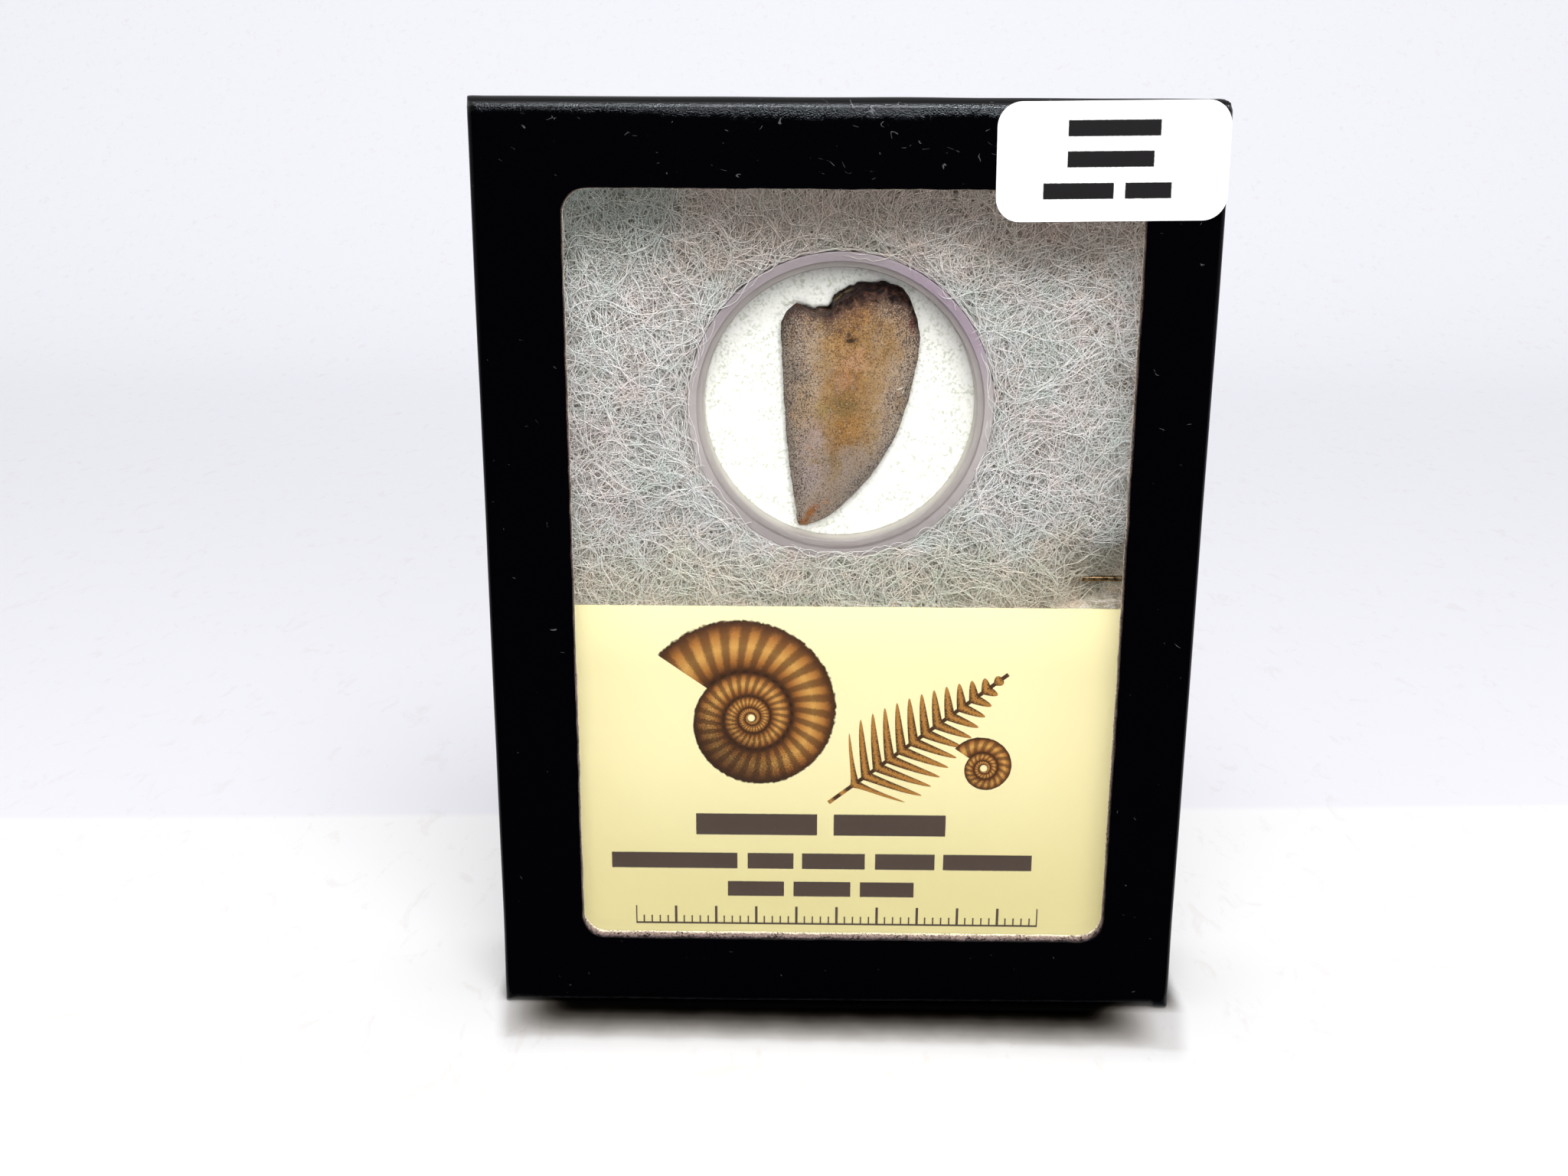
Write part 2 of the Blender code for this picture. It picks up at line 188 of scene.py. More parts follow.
def worked(piece, kind, **settings):
    """Give a piece a modifier with these settings and apply it."""
    pick_up(piece)
    bpy.ops.object.modifier_add(type=kind)
    modifier = piece.modifiers[-1]
    for name, value in settings.items():
        setattr(modifier, name, value)
    bpy.ops.object.modifier_apply(modifier=modifier.name)


def cut(piece, cutter):
    """Take the cutter's shape out of the piece, and throw the cutter away."""
    worked(piece, "BOOLEAN", operation="DIFFERENCE", solver="EXACT", object=cutter)
    bpy.data.objects.remove(cutter)


def score(piece, axis, places):
    """Lay lines of vertices round the piece, square to one axis."""
    normal = [0.0, 0.0, 0.0]
    normal[axis] = 1.0
    open_mesh(piece)
    for place in places:
        point = [0.0, 0.0, 0.0]
        point[axis] = place
        choose_all()
        bpy.ops.mesh.bisect(plane_co=point, plane_no=normal)
    close_mesh()


def tidy_skin(piece, distance=1e-6):
    """Merge doubled points and turn every face outwards."""
    open_mesh(piece)
    choose_all()
    bpy.ops.mesh.remove_doubles(threshold=distance)
    choose_all()
    bpy.ops.mesh.normals_make_consistent(inside=False)
    close_mesh()


def smooth(piece, degrees=40):
    pick_up(piece)
    bpy.ops.object.shade_smooth_by_angle(angle=math.radians(degrees))


def coat(piece, *finishes):
    """Give a piece these finishes in place of any that it has."""
    piece.data.materials.clear()
    for finish in finishes:
        piece.data.materials.append(finish)


def corner_arc(off, along, radius, start, end, steps):
    """Profile points of a rounded corner, round its centre, from one angle to another."""
    points = []
    for step in range(steps + 1):
        angle = math.radians(start + (end - start) * step / steps)
        points.append((off + radius * math.cos(angle), along + radius * math.sin(angle)))
    return points


def turned(name, parts, centre, axis, steps):
    """Turn a profile round an axis. Its parts are points (distance off the axis, place along
    it) and rounded corners, given as corner_arc takes them."""
    axis = Vector(axis)
    side = axis.orthogonal().normalized()
    profile = []
    for part in parts:
        profile += [part] if len(part) == 2 else corner_arc(*part)
    points = [Vector(centre) + side * off + axis * along for off, along in profile]
    put_down()
    bpy.ops.mesh.primitive_plane_add(size=MM, location=points[0])
    piece = fresh(name)
    settle(piece)
    open_mesh(piece, "VERT")
    choose_all()
    bpy.ops.mesh.merge(type="CENTER")
    for before, after in zip(points, points[1:]):
        pull(*(after - before))
    choose_all()
    bpy.ops.mesh.spin(steps=steps, angle=math.tau, center=centre, axis=axis)
    close_mesh()
    tidy_skin(piece)
    return piece


def read_points(piece):
    flat = np.empty(len(piece.data.vertices) * 3, np.float32)
    piece.data.vertices.foreach_get("co", flat)
    return flat.reshape(-1, 3).astype(np.float64)


def write_points(piece, points):
    piece.data.vertices.foreach_set("co", points.astype(np.float32).ravel())
    piece.data.update()


def lumps(points, size, seed=0.0):
    """Smooth random heights, about -1 to 1, over points, with lumps of the given size."""
    shift = Vector((seed * 3.7, seed * 1.9, seed * 5.3))
    return np.array([noise.noise(Vector(p) / size + shift) for p in points]) * 1.6


def ease(value, low, high):
    """0 below low, 1 above high and smooth between them."""
    share = np.clip((value - low) / (high - low), 0.0, 1.0)
    return share * share * (3 - 2 * share)


def give(piece, name, values):
    """Store one number per vertex for the finish to read."""
    layer = piece.data.attributes.new(name, "FLOAT", "POINT")
    layer.data.foreach_set("value", np.asarray(values, np.float32))


# Finishes

def tone(red, green, blue):
    """A colour as seen on a screen, 0 to 255, made linear."""
    def linear(value):
        value /= 255
        return value / 12.92 if value <= 0.04045 else ((value + 0.055) / 1.055) ** 2.4
    return (linear(red), linear(green), linear(blue), 1.0)


class Signal:
    """A value on its way through a finish's nodes. Arithmetic with it adds nodes."""

    def __init__(self, finish, socket):
        self.finish = finish
        self.socket = socket

    def __add__(self, other):
        return self.finish.sum("ADD", self, other)

    def __sub__(self, other):
        return self.finish.sum("SUBTRACT", self, other)

    def __rsub__(self, other):
        return self.finish.sum("SUBTRACT", other, self)

    def __mul__(self, other):
        return self.finish.sum("MULTIPLY", self, other)

    def __truediv__(self, other):
        return self.finish.sum("DIVIDE", self, other)

    def __abs__(self):
        return self.finish.sum("ABSOLUTE", self)


class Finish:
    """One procedural material and the nodes that feed it."""

    def __init__(self, name, **sockets):
        self.material = bpy.data.materials.new(name)
        self.material.use_nodes = True
        self.nodes = self.material.node_tree.nodes
        self.links = self.material.node_tree.links
        self.shader = self.nodes["Principled BSDF"]
        self.output = self.nodes["Material Output"]
        for socket, value in sockets.items():
            self.set(socket.replace("_", " "), value)
        self.place = self.out(self.add("ShaderNodeTexCoord"), "Object")

    def set(self, socket, value):
        """Feed one of the shader's sockets with a number, a colour or another node."""
        for target in self.shader.inputs:
            if target.name.lower() == socket.lower():
                self.feed(target, value)
                return
        raise KeyError(socket)

    def feed(self, target, value):
        if isinstance(value, Signal):
            self.links.new(value.socket, target)
        elif value is not None:
            target.default_value = value

    def add(self, kind, **settings):
        node = self.nodes.new(kind)
        for name, value in settings.items():
            setattr(node, name, value)
        return node

    def out(self, node, socket=0):
        return Signal(self, node.outputs[socket])

    def sum(self, operation, a, b=None, c=None, clamp=False):
        node = self.add("ShaderNodeMath", operation=operation, use_clamp=clamp)
        for target, value in zip(node.inputs, (a, b, c)):
            self.feed(target, value)
        return self.out(node)

    def stored(self, name):
        return self.out(self.add("ShaderNodeAttribute", attribute_name=name), "Fac")

    def moved(self, centre=(0, 0, 0), turn=(0, 0, 0), size=(1, 1, 1)):
        """Object coordinates seen from a centre, in turned axes, in units of a size."""
        node = self.add("ShaderNodeMapping", vector_type="TEXTURE")
        self.feed(node.inputs["Vector"], self.place)
        for target, given in zip(("Location", "Rotation", "Scale"), (centre, turn, size)):
            node.inputs[target].default_value = given
        return self.out(node)

    def axes(self, place=None):
        split = self.add("ShaderNodeSeparateXYZ")
        self.feed(split.inputs[0], place or self.place)
        return [self.out(split, axis) for axis in range(3)]

    def grain(self, size, detail=3.0, rough=0.55, place=None, warp=0.0):
        """Noise with grains of about the given size, 0 to 1."""
        node = self.add("ShaderNodeTexNoise")
        given = {"Vector": place or self.place, "Scale": 1 / size, "Detail": detail,
                 "Roughness": rough, "Distortion": warp}
        for target, value in given.items():
            self.feed(node.inputs[target], value)
        return self.out(node, "Fac")

    def cells(self, size):
        """Distance to the nearest of points scattered about the given size apart."""
        node = self.add("ShaderNodeTexVoronoi")
        self.feed(node.inputs["Vector"], self.place)
        self.feed(node.inputs["Scale"], 1 / size)
        return self.out(node, "Distance")

    def span(self, value, low, high, start=0.0, end=1.0):
        """Map a value smoothly from low..high to start..end."""
        node = self.add("ShaderNodeMapRange", interpolation_type="SMOOTHSTEP")
        for target, given in zip(node.inputs, (value, low, high, start, end)):
            self.feed(target, given)
        return self.out(node)

    def between(self, value, low, high, soft=0.06):
        """1 from low to high and 0 outside, with soft ends."""
        rise = self.span(value, low - soft, low + soft)
        return rise * self.span(value, high - soft, high + soft, 1, 0)

    def blend(self, share, a, b, mode="MIX"):
        node = self.add("ShaderNodeMix", data_type="RGBA", blend_type=mode)
        for socket, given in ((0, share), (6, a), (7, b)):
            self.feed(node.inputs[socket], given)
        return self.out(node, 2)

    def ladder(self, value, steps, kind="LINEAR"):
        """A colour ramp from (place, colour) steps."""
        node = self.add("ShaderNodeValToRGB")
        ramp = node.color_ramp
        ramp.interpolation = kind
        while len(ramp.elements) < len(steps):
            ramp.elements.new(0.5)
        for element, (place, colour) in zip(ramp.elements, steps):
            element.position = place
            element.color = colour
        self.feed(node.inputs[0], value)
        return self.out(node)

    def relief(self, height, depth, strength):
        node = self.add("ShaderNodeBump")
        for target, given in (("Strength", strength), ("Distance", depth), ("Height", height)):
            self.feed(node.inputs[target], given)
        return self.out(node)

    def let_lamps_through(self, colour):
        """Clear stock that lamps shine through, so that what lies behind it is lit."""
        lamp_ray = self.out(self.add("ShaderNodeLightPath"), "Is Shadow Ray")
        open_way = self.add("ShaderNodeBsdfTransparent")
        open_way.inputs["Color"].default_value = colour
        either = self.add("ShaderNodeMixShader")
        ways = (lamp_ray, self.out(self.shader), self.out(open_way))
        for target, given in zip(either.inputs, ways):
            self.feed(target, given)
        self.feed(self.output.inputs["Surface"], self.out(either))


def lid_paper():
    """Glossy black paper with a fine pebbled emboss, painted crease highlights, dust and glints."""
    f = Finish("lid_paper", specular_ior_level=0.32)
    pebble = f.cells(0.16 * MM)
    fine = f.grain(0.12 * MM, 3, 0.65)
    x, y, z = f.axes()
    # the creases are painted highlights: thin light lines where creases catch the light
    crease_highlight = f.grain(2.6 * MM, 1, 0.5, f.moved(turn=(0, 0.35, 0), size=(1.4, 1, 0.9)), 0.5)
    crease_highlight = f.span(abs(crease_highlight - 0.5), 0.002, 0.0065, 1, 0)
    # near the top edge, where the painted highlights and glints gather
    upper = f.span(z, 98 * MM, 101 * MM) * f.span(x, -34 * MM, 4 * MM, 0.3, 1.0)
    where = upper * 0.11 + f.grain(1.5 * MM, 2)
    crease_highlight = crease_highlight * f.span(where, 0.67, 0.72)
    # dust specks, painted brighter and more often near the top edge as glints
    dust_and_glint = f.span(f.cells(1.7 * MM), 0.020, 0.010)
    dust_and_glint = dust_and_glint * f.span(f.grain(5 * MM, 2) + upper * 0.07, 0.64, 0.68)
    body = f.blend(fine, tone(0, 0, 1), tone(3, 3, 4))
    # painted crease highlights over the black
    body = f.blend(crease_highlight * 0.6, body, tone(82, 82, 84))
    # a grey line along the bottom front edge, broken up by noise
    grey_bottom_line = f.stored("bottom_line") * f.span(f.grain(0.7 * MM, 4, 0.7), 0.4, 0.58, 0.25, 1.0)
    body = f.blend(grey_bottom_line * 0.8, body, tone(62, 62, 66))
    # painted glints: the specks grow brighter towards the top edge
    dust_and_glint = dust_and_glint * f.span(z, 90 * MM, 100 * MM, 0.2, 0.4)
    f.set("Base Color", f.blend(dust_and_glint, body, tone(150, 150, 148)))
    f.set("Roughness", f.span(fine, 0.35, 0.65, 0.07, 0.15))
    # the emboss stands out just below the rounded top edge and is faint on the rest of the front
    top = LID_HIGH.z
    emboss = f.span(z, top - 0.50 * MM, top - 0.80 * MM, 0.15, 1.0)
    deeper = f.span(x, -32 * MM, -6 * MM) * f.span(x, 0, 14 * MM, 1.0, 0.45)
    above = z - (deeper * (-0.8 * MM) + (top - 1.35 * MM))
    above = above + (f.grain(1.1 * MM, 3) - 0.5) * (1.4 * MM)
    emboss = emboss * f.span(above, -1.1 * MM, 0.6 * MM, 0.05, 1.0)
    behind = f.span(y, at_depth(1.4 * MM), at_depth(3.0 * MM), 0, 0.8)
    emboss = f.sum("MAXIMUM", emboss, behind)
    rolled = f.span(z, top - 0.75 * MM, top - 0.45 * MM, 0, 0.3)
    crest = f.span(z, top - 1.22 * MM, top - 1.08 * MM, 0.42, 1.5)
    gloss = crest * f.span(emboss, 0.1, 1.0, 0.1, 0.42)
    f.set("Specular IOR Level", f.sum("MAXIMUM", rolled, gloss))
    height = pebble * 0.9 + fine * 0.7
    f.set("Normal", f.relief(height * emboss, 0.035 * MM, 0.9))
    return f.material


def cut_board():
    """The window's raw edge: black paper, grey-pink board and a cream liner."""
    f = Finish("cut_board", specular_ior_level=0.2, roughness=0.95)
    depth = f.axes()[1] - FRONT
    fray = (f.grain(0.35 * MM, 3, 0.7) - 0.5) * (0.9 * MM)
    layer = (depth + fray) / BOARD
    board = f.span(f.grain(0.16 * MM, 4, 0.7), 0.38, 0.60)
    board = f.blend(board, tone(92, 78, 76), tone(246, 236, 226))
    coloured = f.ladder(layer, (
        (0.0, tone(10, 10, 10)), (0.12, tone(22, 18, 20)), (0.24, tone(80, 70, 74)),
        (0.42, tone(140, 124, 122)), (0.76, tone(168, 150, 140)), (0.85, tone(250, 240, 214)),
        (1.0, tone(254, 250, 230)),
    ))
    coloured = f.blend(0.75, coloured, f.blend(1.0, coloured, board, "MULTIPLY"))
    torn = f.span(layer, 0.15, 0.75, 0.07, 0.0)
    speck = f.span(f.grain(0.3 * MM, 4, 0.7) + torn, 0.545, 0.585)
    speck = speck * f.span(f.grain(1.8 * MM, 2), 0.42, 0.52)
    f.set("Base Color", f.blend(speck, coloured, tone(24, 18, 15)))
    f.set("Normal", f.relief(f.grain(0.18 * MM, 4, 0.7), 0.08 * MM, 0.9))
    return f.material


def pane_glass():
    """Clear window glass, very slightly green."""
    f = Finish("pane_glass", roughness=0.0, ior=1.46, transmission_weight=1.0,
               base_color=(0.992, 0.996, 0.99, 1.0))
    f.let_lamps_through((0.965, 0.965, 0.96, 1.0))
    return f.material


def jar_plastic(name):
    """Clear moulded plastic, for the flat parts that are looked through."""
    f = Finish(name, ior=1.42, transmission_weight=1.0, roughness=0.0,
               base_color=(0.985, 0.98, 0.985, 1.0))
    f.let_lamps_through((0.97, 0.965, 0.97, 1.0))
    return f.material


def jar_wall_plastic(name, dark, light, high, inner, tinge):
    """The same plastic along a wall: tinted, a little cloudy, with painted light and shade."""
    f = Finish(name, ior=1.42, transmission_weight=0.2, roughness=0.3, specular_ior_level=0.3)
    x, y, z = f.axes(f.moved(JAR_CENTRE))
    body = f.blend(f.grain(1.3 * MM, 3, 0.55, f.moved(size=(1, 3, 1))), dark, light)
    radius = f.sum("SQRT", x * x + z * z)
    # painted light on the inner wall just behind the rim, in the colour given as inner
    lit_wall = f.span(radius, 16.5 * MM, 15.7 * MM) * f.span(y, 5.5 * MM, 7.6 * MM)
    body = f.blend(lit_wall, body, inner)
    # painted shade over the top of the ring, in the colour given as high
    body = f.blend(f.span(z, -3 * MM, 15 * MM, 0, 0.9), body, high)
    # darker towards the bottom of the ring
    body = f.blend(f.span(z, -5 * MM, -16 * MM, 0, 0.3), body, tone(116, 108, 110))
    # the plastic's lilac tint, painted only on the upper right, where light through the wall shows
    # it
    lilac = f.span(x, 2 * MM, 10 * MM) * f.span(z, 1 * MM, 8 * MM, 0, tinge)
    f.set("Base Color", f.blend(lilac, body, tone(160, 139, 161)))
    f.let_lamps_through((0.93, 0.91, 0.94, 1.0))
    return f.material


def tray_card():
    """Matt black card, slightly greyed where it rubs."""
    f = Finish("tray_card", specular_ior_level=0.3, roughness=0.6)
    fibre = f.grain(0.3 * MM, 5, 0.7)
    scuff = f.span(f.grain(9 * MM, 5, 0.65, warp=1.0), 0.56, 0.74)
    body = f.blend(fibre, tone(17, 17, 18), tone(33, 32, 33))
    f.set("Base Color", f.blend(scuff * 0.35, body, tone(66, 64, 63)))
    f.set("Roughness", f.span(fibre, 0.2, 0.8, 0.5, 0.75))
    f.set("Normal", f.relief(fibre, 0.05 * MM, 0.6))
    return f.material


def batting_wool(name, dark, light, haze=0.0):
    """White curly fibre with faint patches of colour. With haze, fibres are drawn on it too."""
    sheen = 0.3 if haze else 0.7
    f = Finish(name, specular_ior_level=0.2, roughness=0.75,
               sheen_weight=sheen, sheen_roughness=0.4)
    share = f.span(f.grain(5 * MM, 4, 0.62, warp=0.6), 0.34, 0.64)
    if not haze:
        share = f.stored("shade") * 0.6 + share * 0.4
    body = f.blend(share, dark, light)
    hue = f.ladder(f.grain(7 * MM, 3, 0.55), (
        (0.34, tone(232, 244, 236)), (0.44, tone(244, 248, 248)), (0.54, tone(252, 249, 246)),
        (0.66, tone(255, 240, 238)),
    ))
    body = f.blend(0.4, body, hue, "MULTIPLY")
    hue = f.ladder(f.grain(1.4 * MM, 3, 0.6), (
        (0.36, tone(230, 244, 234)), (0.48, tone(246, 246, 252)), (0.64, tone(255, 238, 232)),
    ))
    body = f.blend(0.4, body, hue, "MULTIPLY")
    x, _, z = f.axes()
    drift = f.grain(6 * MM, 3, 0.6) * (14 * MM) + (z - 7 * MM)
    # painted shade under the lid's top edge: the batting darker towards the top, greener on the
    # left and browner on the right
    top = f.blend(f.span(x, -23 * MM, -15 * MM), tone(188, 197, 191), tone(218, 202, 191))
    body = f.blend(f.span(drift, 84 * MM, 97 * MM, 0, 0.9), body, top, "MULTIPLY")
    foot = f.blend(f.span(x, 10 * MM, 26 * MM), tone(254, 251, 238), tone(240, 233, 214))
    body = f.blend(f.span(drift, 62 * MM, 53 * MM), body, foot, "MULTIPLY")
    if haze:
        for size, shift, turn in ((1.1, 0.0, 0.4), (1.5, 0.03, 1.9), (0.8, 0.07, 2.8)):
            place = f.moved((shift, shift, 0), (0, turn, 0), (1, 1, 2.2))
            line = abs(f.grain(size * MM, 3, 0.5, place, 0.6) - 0.5)
            body = f.blend(f.span(line, 0.0, 0.022, haze, 0), body, tone(250, 248, 246))
        # painted shade: dark specks in the hollows between the drawn fibres
        hollow = f.span(f.grain(0.5 * MM, 3, 0.6), 0.56, 0.66)
        body = f.blend(hollow * 0.3, body, tone(120, 110, 100))
    fleck = f.axes(f.moved((13.3 * MM, 0, 95.4 * MM), (0, 0.7, 0), (0.30 * MM, MM, 0.09 * MM)))
    fleck = fleck[0] * fleck[0] + fleck[2] * fleck[2]
    f.set("Base Color", f.blend(f.span(fleck, 1.0, 0.5), body, tone(120, 70, 50)))
    return f.material


def foam_white():
    """Fine white open foam with tiny dark pores."""
    f = Finish("foam_white", specular_ior_level=0.2, roughness=0.9)
    pore = f.span(f.grain(0.36 * MM, 2, 0.6), 0.47, 0.66)
    pore_here = f.span(f.grain(2.2 * MM, 3), 0.38, 0.6, 0.35, 1.0)
    body = f.blend(f.grain(0.35 * MM, 3), tone(236, 239, 232), tone(250, 252, 248))
    f.set("Base Color", f.blend(pore * pore_here, body, tone(202, 208, 194)))
    f.set("Normal", f.relief(f.grain(0.22 * MM, 4, 0.65), 0.04 * MM, 0.5))
    return f.material


def tooth_enamel():
    """Mineralised enamel: grey margins, an orange-tan middle, dark speckles and stains."""
    f = Finish("tooth_enamel", specular_ior_level=0.14)
    share, height = f.stored("share"), f.stored("height")
    band, scorch = f.stored("band"), f.stored("scorch")
    cloud = f.grain(3.4 * MM, 4, 0.6, warp=0.6) - 0.5
    mottle = f.grain(0.85 * MM, 5, 0.72, warp=0.5) - 0.5
    speck = f.grain(0.175 * MM, 2, 0.6)
    fine_speck = f.grain(0.12 * MM, 1, 0.6, f.moved((0.013, 0.021, 0.005)))

    middle = 1.0 - abs(share * 2.0 - 1.06) + cloud + mottle * 0.55
    body = f.ladder(middle, (
        (0.0, tone(142, 131, 119)), (0.14, tone(169, 154, 139)), (0.36, tone(172, 152, 130)),
        (0.58, tone(156, 130, 95)), (0.80, tone(148, 114, 69)), (1.0, tone(142, 105, 54)),
    ))
    streak = f.grain(1.7 * MM, 5, 0.66, f.moved((TIP_X, 0, TIP_Z), (0, 0.16, 0), (1, 1, 3)))
    body = f.blend(f.span(streak, 0.52, 0.64, 0, 0.35), body, tone(160, 122, 78))
    body = f.blend(f.span(streak, 0.47, 0.36, 0, 0.5), body, tone(148, 124, 108))
    low = f.span(height + cloud * 9.0, 12.5, 7.0)
    body = f.blend(low * 0.75, body, tone(151, 140, 131))

    def stain(x, z, across, up, colour, strength, ragged=1.6, lean=0.0):
        """A ragged stain at a place on the tooth's face, in millimetres."""
        spot = f.axes(f.moved(
            (x * MM, 0, z * MM), (0, math.radians(lean), 0), (across * MM, MM, up * MM)
        ))
        away = f.sum("SQRT", spot[0] * spot[0] + spot[2] * spot[2]) + mottle * (ragged * 2)
        return f.blend(f.span(away, 1.15, 0.3, 0, strength), body, colour)

    for spot in (
        (-1.6, 80.9, 1.6, 1.5, tone(170, 134, 86), 0.55),
        (1.0, 79.2, 1.9, 1.7, tone(180, 140, 108), 0.7),
        (3.6, 77.4, 1.9, 2.2, tone(158, 128, 88), 0.5),
        (0.3, 77.2, 1.5, 1.4, tone(166, 122, 84), 0.55),
        (0.2, 74.3, 2.0, 1.5, tone(112, 98, 62), 0.6),
        (-2.5, 73.6, 1.2, 1.4, tone(150, 130, 76), 0.5),
        (1.3, 71.6, 1.6, 1.5, tone(168, 128, 78), 0.45),
        (-1.2, 67.5, 1.2, 1.3, tone(118, 104, 74), 0.5),
        (2.2, 84.9, 2.0, 1.1, tone(146, 108, 74), 0.5),
        (6.6, 82.0, 1.8, 3.0, tone(150, 120, 88), 0.5),
        (-4.6, 74.4, 1.8, 3.0, tone(168, 138, 98), 0.45),
        (-1.0, 66.6, 0.9, 2.2, tone(140, 116, 80), 0.5, 1.6, 14),
        (-3.6, 65.8, 1.5, 2.4, tone(160, 147, 146), 0.55),
        (-3.6, 70.0, 1.5, 2.6, tone(166, 148, 142), 0.7),
        (0.85, 81.7, 0.85, 0.55, tone(74, 50, 26), 0.9, 1.2),
        (0.72, 81.6, 0.5, 0.34, tone(40, 28, 20), 0.9, 1.2),
        (0.5, 82.4, 0.25, 0.5, tone(60, 46, 38), 0.8, 1.2),
        (-3.65, 61.3, 0.60, 1.7, tone(146, 92, 40), 0.85, 0.9, 40),
        (-4.45, 60.1, 0.75, 0.8, tone(138, 94, 50), 0.85, 0.9),
        (-1.9, 62.7, 0.5, 0.35, tone(172, 132, 96), 0.6, 0.7, 20),
        (-5.35, 85.6, 0.5, 0.4, tone(190, 124, 84), 0.85, 0.5),
        (2.4, 84.4, 0.4, 1.3, tone(172, 128, 76), 0.6, 1.2, -12),
        (7.7, 83.4, 0.55, 1.2, tone(104, 24, 20), 0.85, 1.4),
    ):
        body = stain(*spot)

    burnt = scorch + mottle * 1.3
    body = f.blend(f.span(burnt, 0.26, 1.0, 0, 0.75), body, tone(92, 67, 57))
    body = f.blend(f.span(burnt, 0.75, 1.25, 0, 0.85), body, tone(40, 26, 23))

    margin = f.span(middle, 0.62, 0.08)
    limit = 0.585 - margin * 0.05 - scorch * 0.24 - mottle * 0.24
    dots = f.span(speck - limit, -0.02, 0.035)
    right_side = f.span(share, 0.62, 0.9) * f.span(height, 17.5, 13.0)
    dot_colour = f.blend(right_side, tone(46, 36, 34), tone(38, 46, 43))
    dot_colour = f.blend(f.span(scorch, 0.05, 0.35), dot_colour, tone(52, 30, 30))
    body = f.blend(dots * f.span(margin, 0.1, 0.7, 0.62, 0.86), body, dot_colour)
    fine_limit = 0.575 - margin * 0.05 - mottle * 0.1
    fine_dots = f.span(fine_speck - fine_limit, -0.02, 0.04)
    body = f.blend(fine_dots * 0.55, body, tone(56, 46, 42))
    rim = f.sum("MINIMUM", share, 1.0 - share)
    body = f.blend(f.span(rim, 0.016, 0.002, 0, 0.45), body, tone(60, 52, 46))
    pale = f.span(f.grain(0.21 * MM, 2, 0.6, f.moved((0.01, 0.02, 0.03))), 0.60, 0.68)
    body = f.blend(pale * 0.3, body, tone(206, 192, 174))
    body = stain(6.6, 76.1, 0.62, 0.10, tone(214, 212, 204), 0.9, 0.25, -18)
    body = stain(6.9, 75.7, 0.12, 0.4, tone(200, 198, 190), 0.7, 0.25, 25)

    chip = f.grain(0.6 * MM, 5, 0.7)
    broken = f.ladder(chip, (
        (0.36, tone(8, 6, 6)), (0.47, tone(24, 15, 13)), (0.54, tone(44, 27, 22)),
        (0.60, tone(62, 36, 29)), (0.66, tone(84, 60, 44)), (0.73, tone(150, 126, 88)),
    ))
    body = f.blend(band, body, broken)
    for spot in (
        (-0.75, 86.35, 0.8, 0.10, tone(140, 122, 74), 0.6, 1.2, -38),
        (0.45, 87.1, 0.7, 0.09, tone(146, 130, 88), 0.55, 1.2, -24),
        (1.3, 85.9, 0.16, 0.75, tone(122, 86, 56), 0.5, 1.2, -30),
    ):
        body = stain(*spot)
    f.set("Base Color", body)
    f.set("Roughness", f.span(fine_speck, 0.35, 0.65, 0.38, 0.55) + band * 0.15)
    height_map = speck * 0.6 + chip * band * 3.0
    f.set("Normal", f.relief(height_map, 0.06 * MM, 0.55))
    return f.material


def pin_metal():
    """Dull plated steel gone brown, scratched along its length."""
    f = Finish("pin_metal", metallic=1.0)
    tarnish = f.grain(0.8 * MM, 4, 0.65)
    brown = f.span(tarnish, 0.35, 0.65)
    f.set("Base Color", f.blend(brown, tone(116, 88, 58), tone(190, 168, 132)))
    f.set("Roughness", f.span(tarnish, 0.3, 0.7, 0.2, 0.42))
    drawn = f.grain(0.06 * MM, 2, 0.5, f.moved(size=(20, 1, 1)))
    f.set("Normal", f.relief(drawn, 0.01 * MM, 0.5))
    return f.material


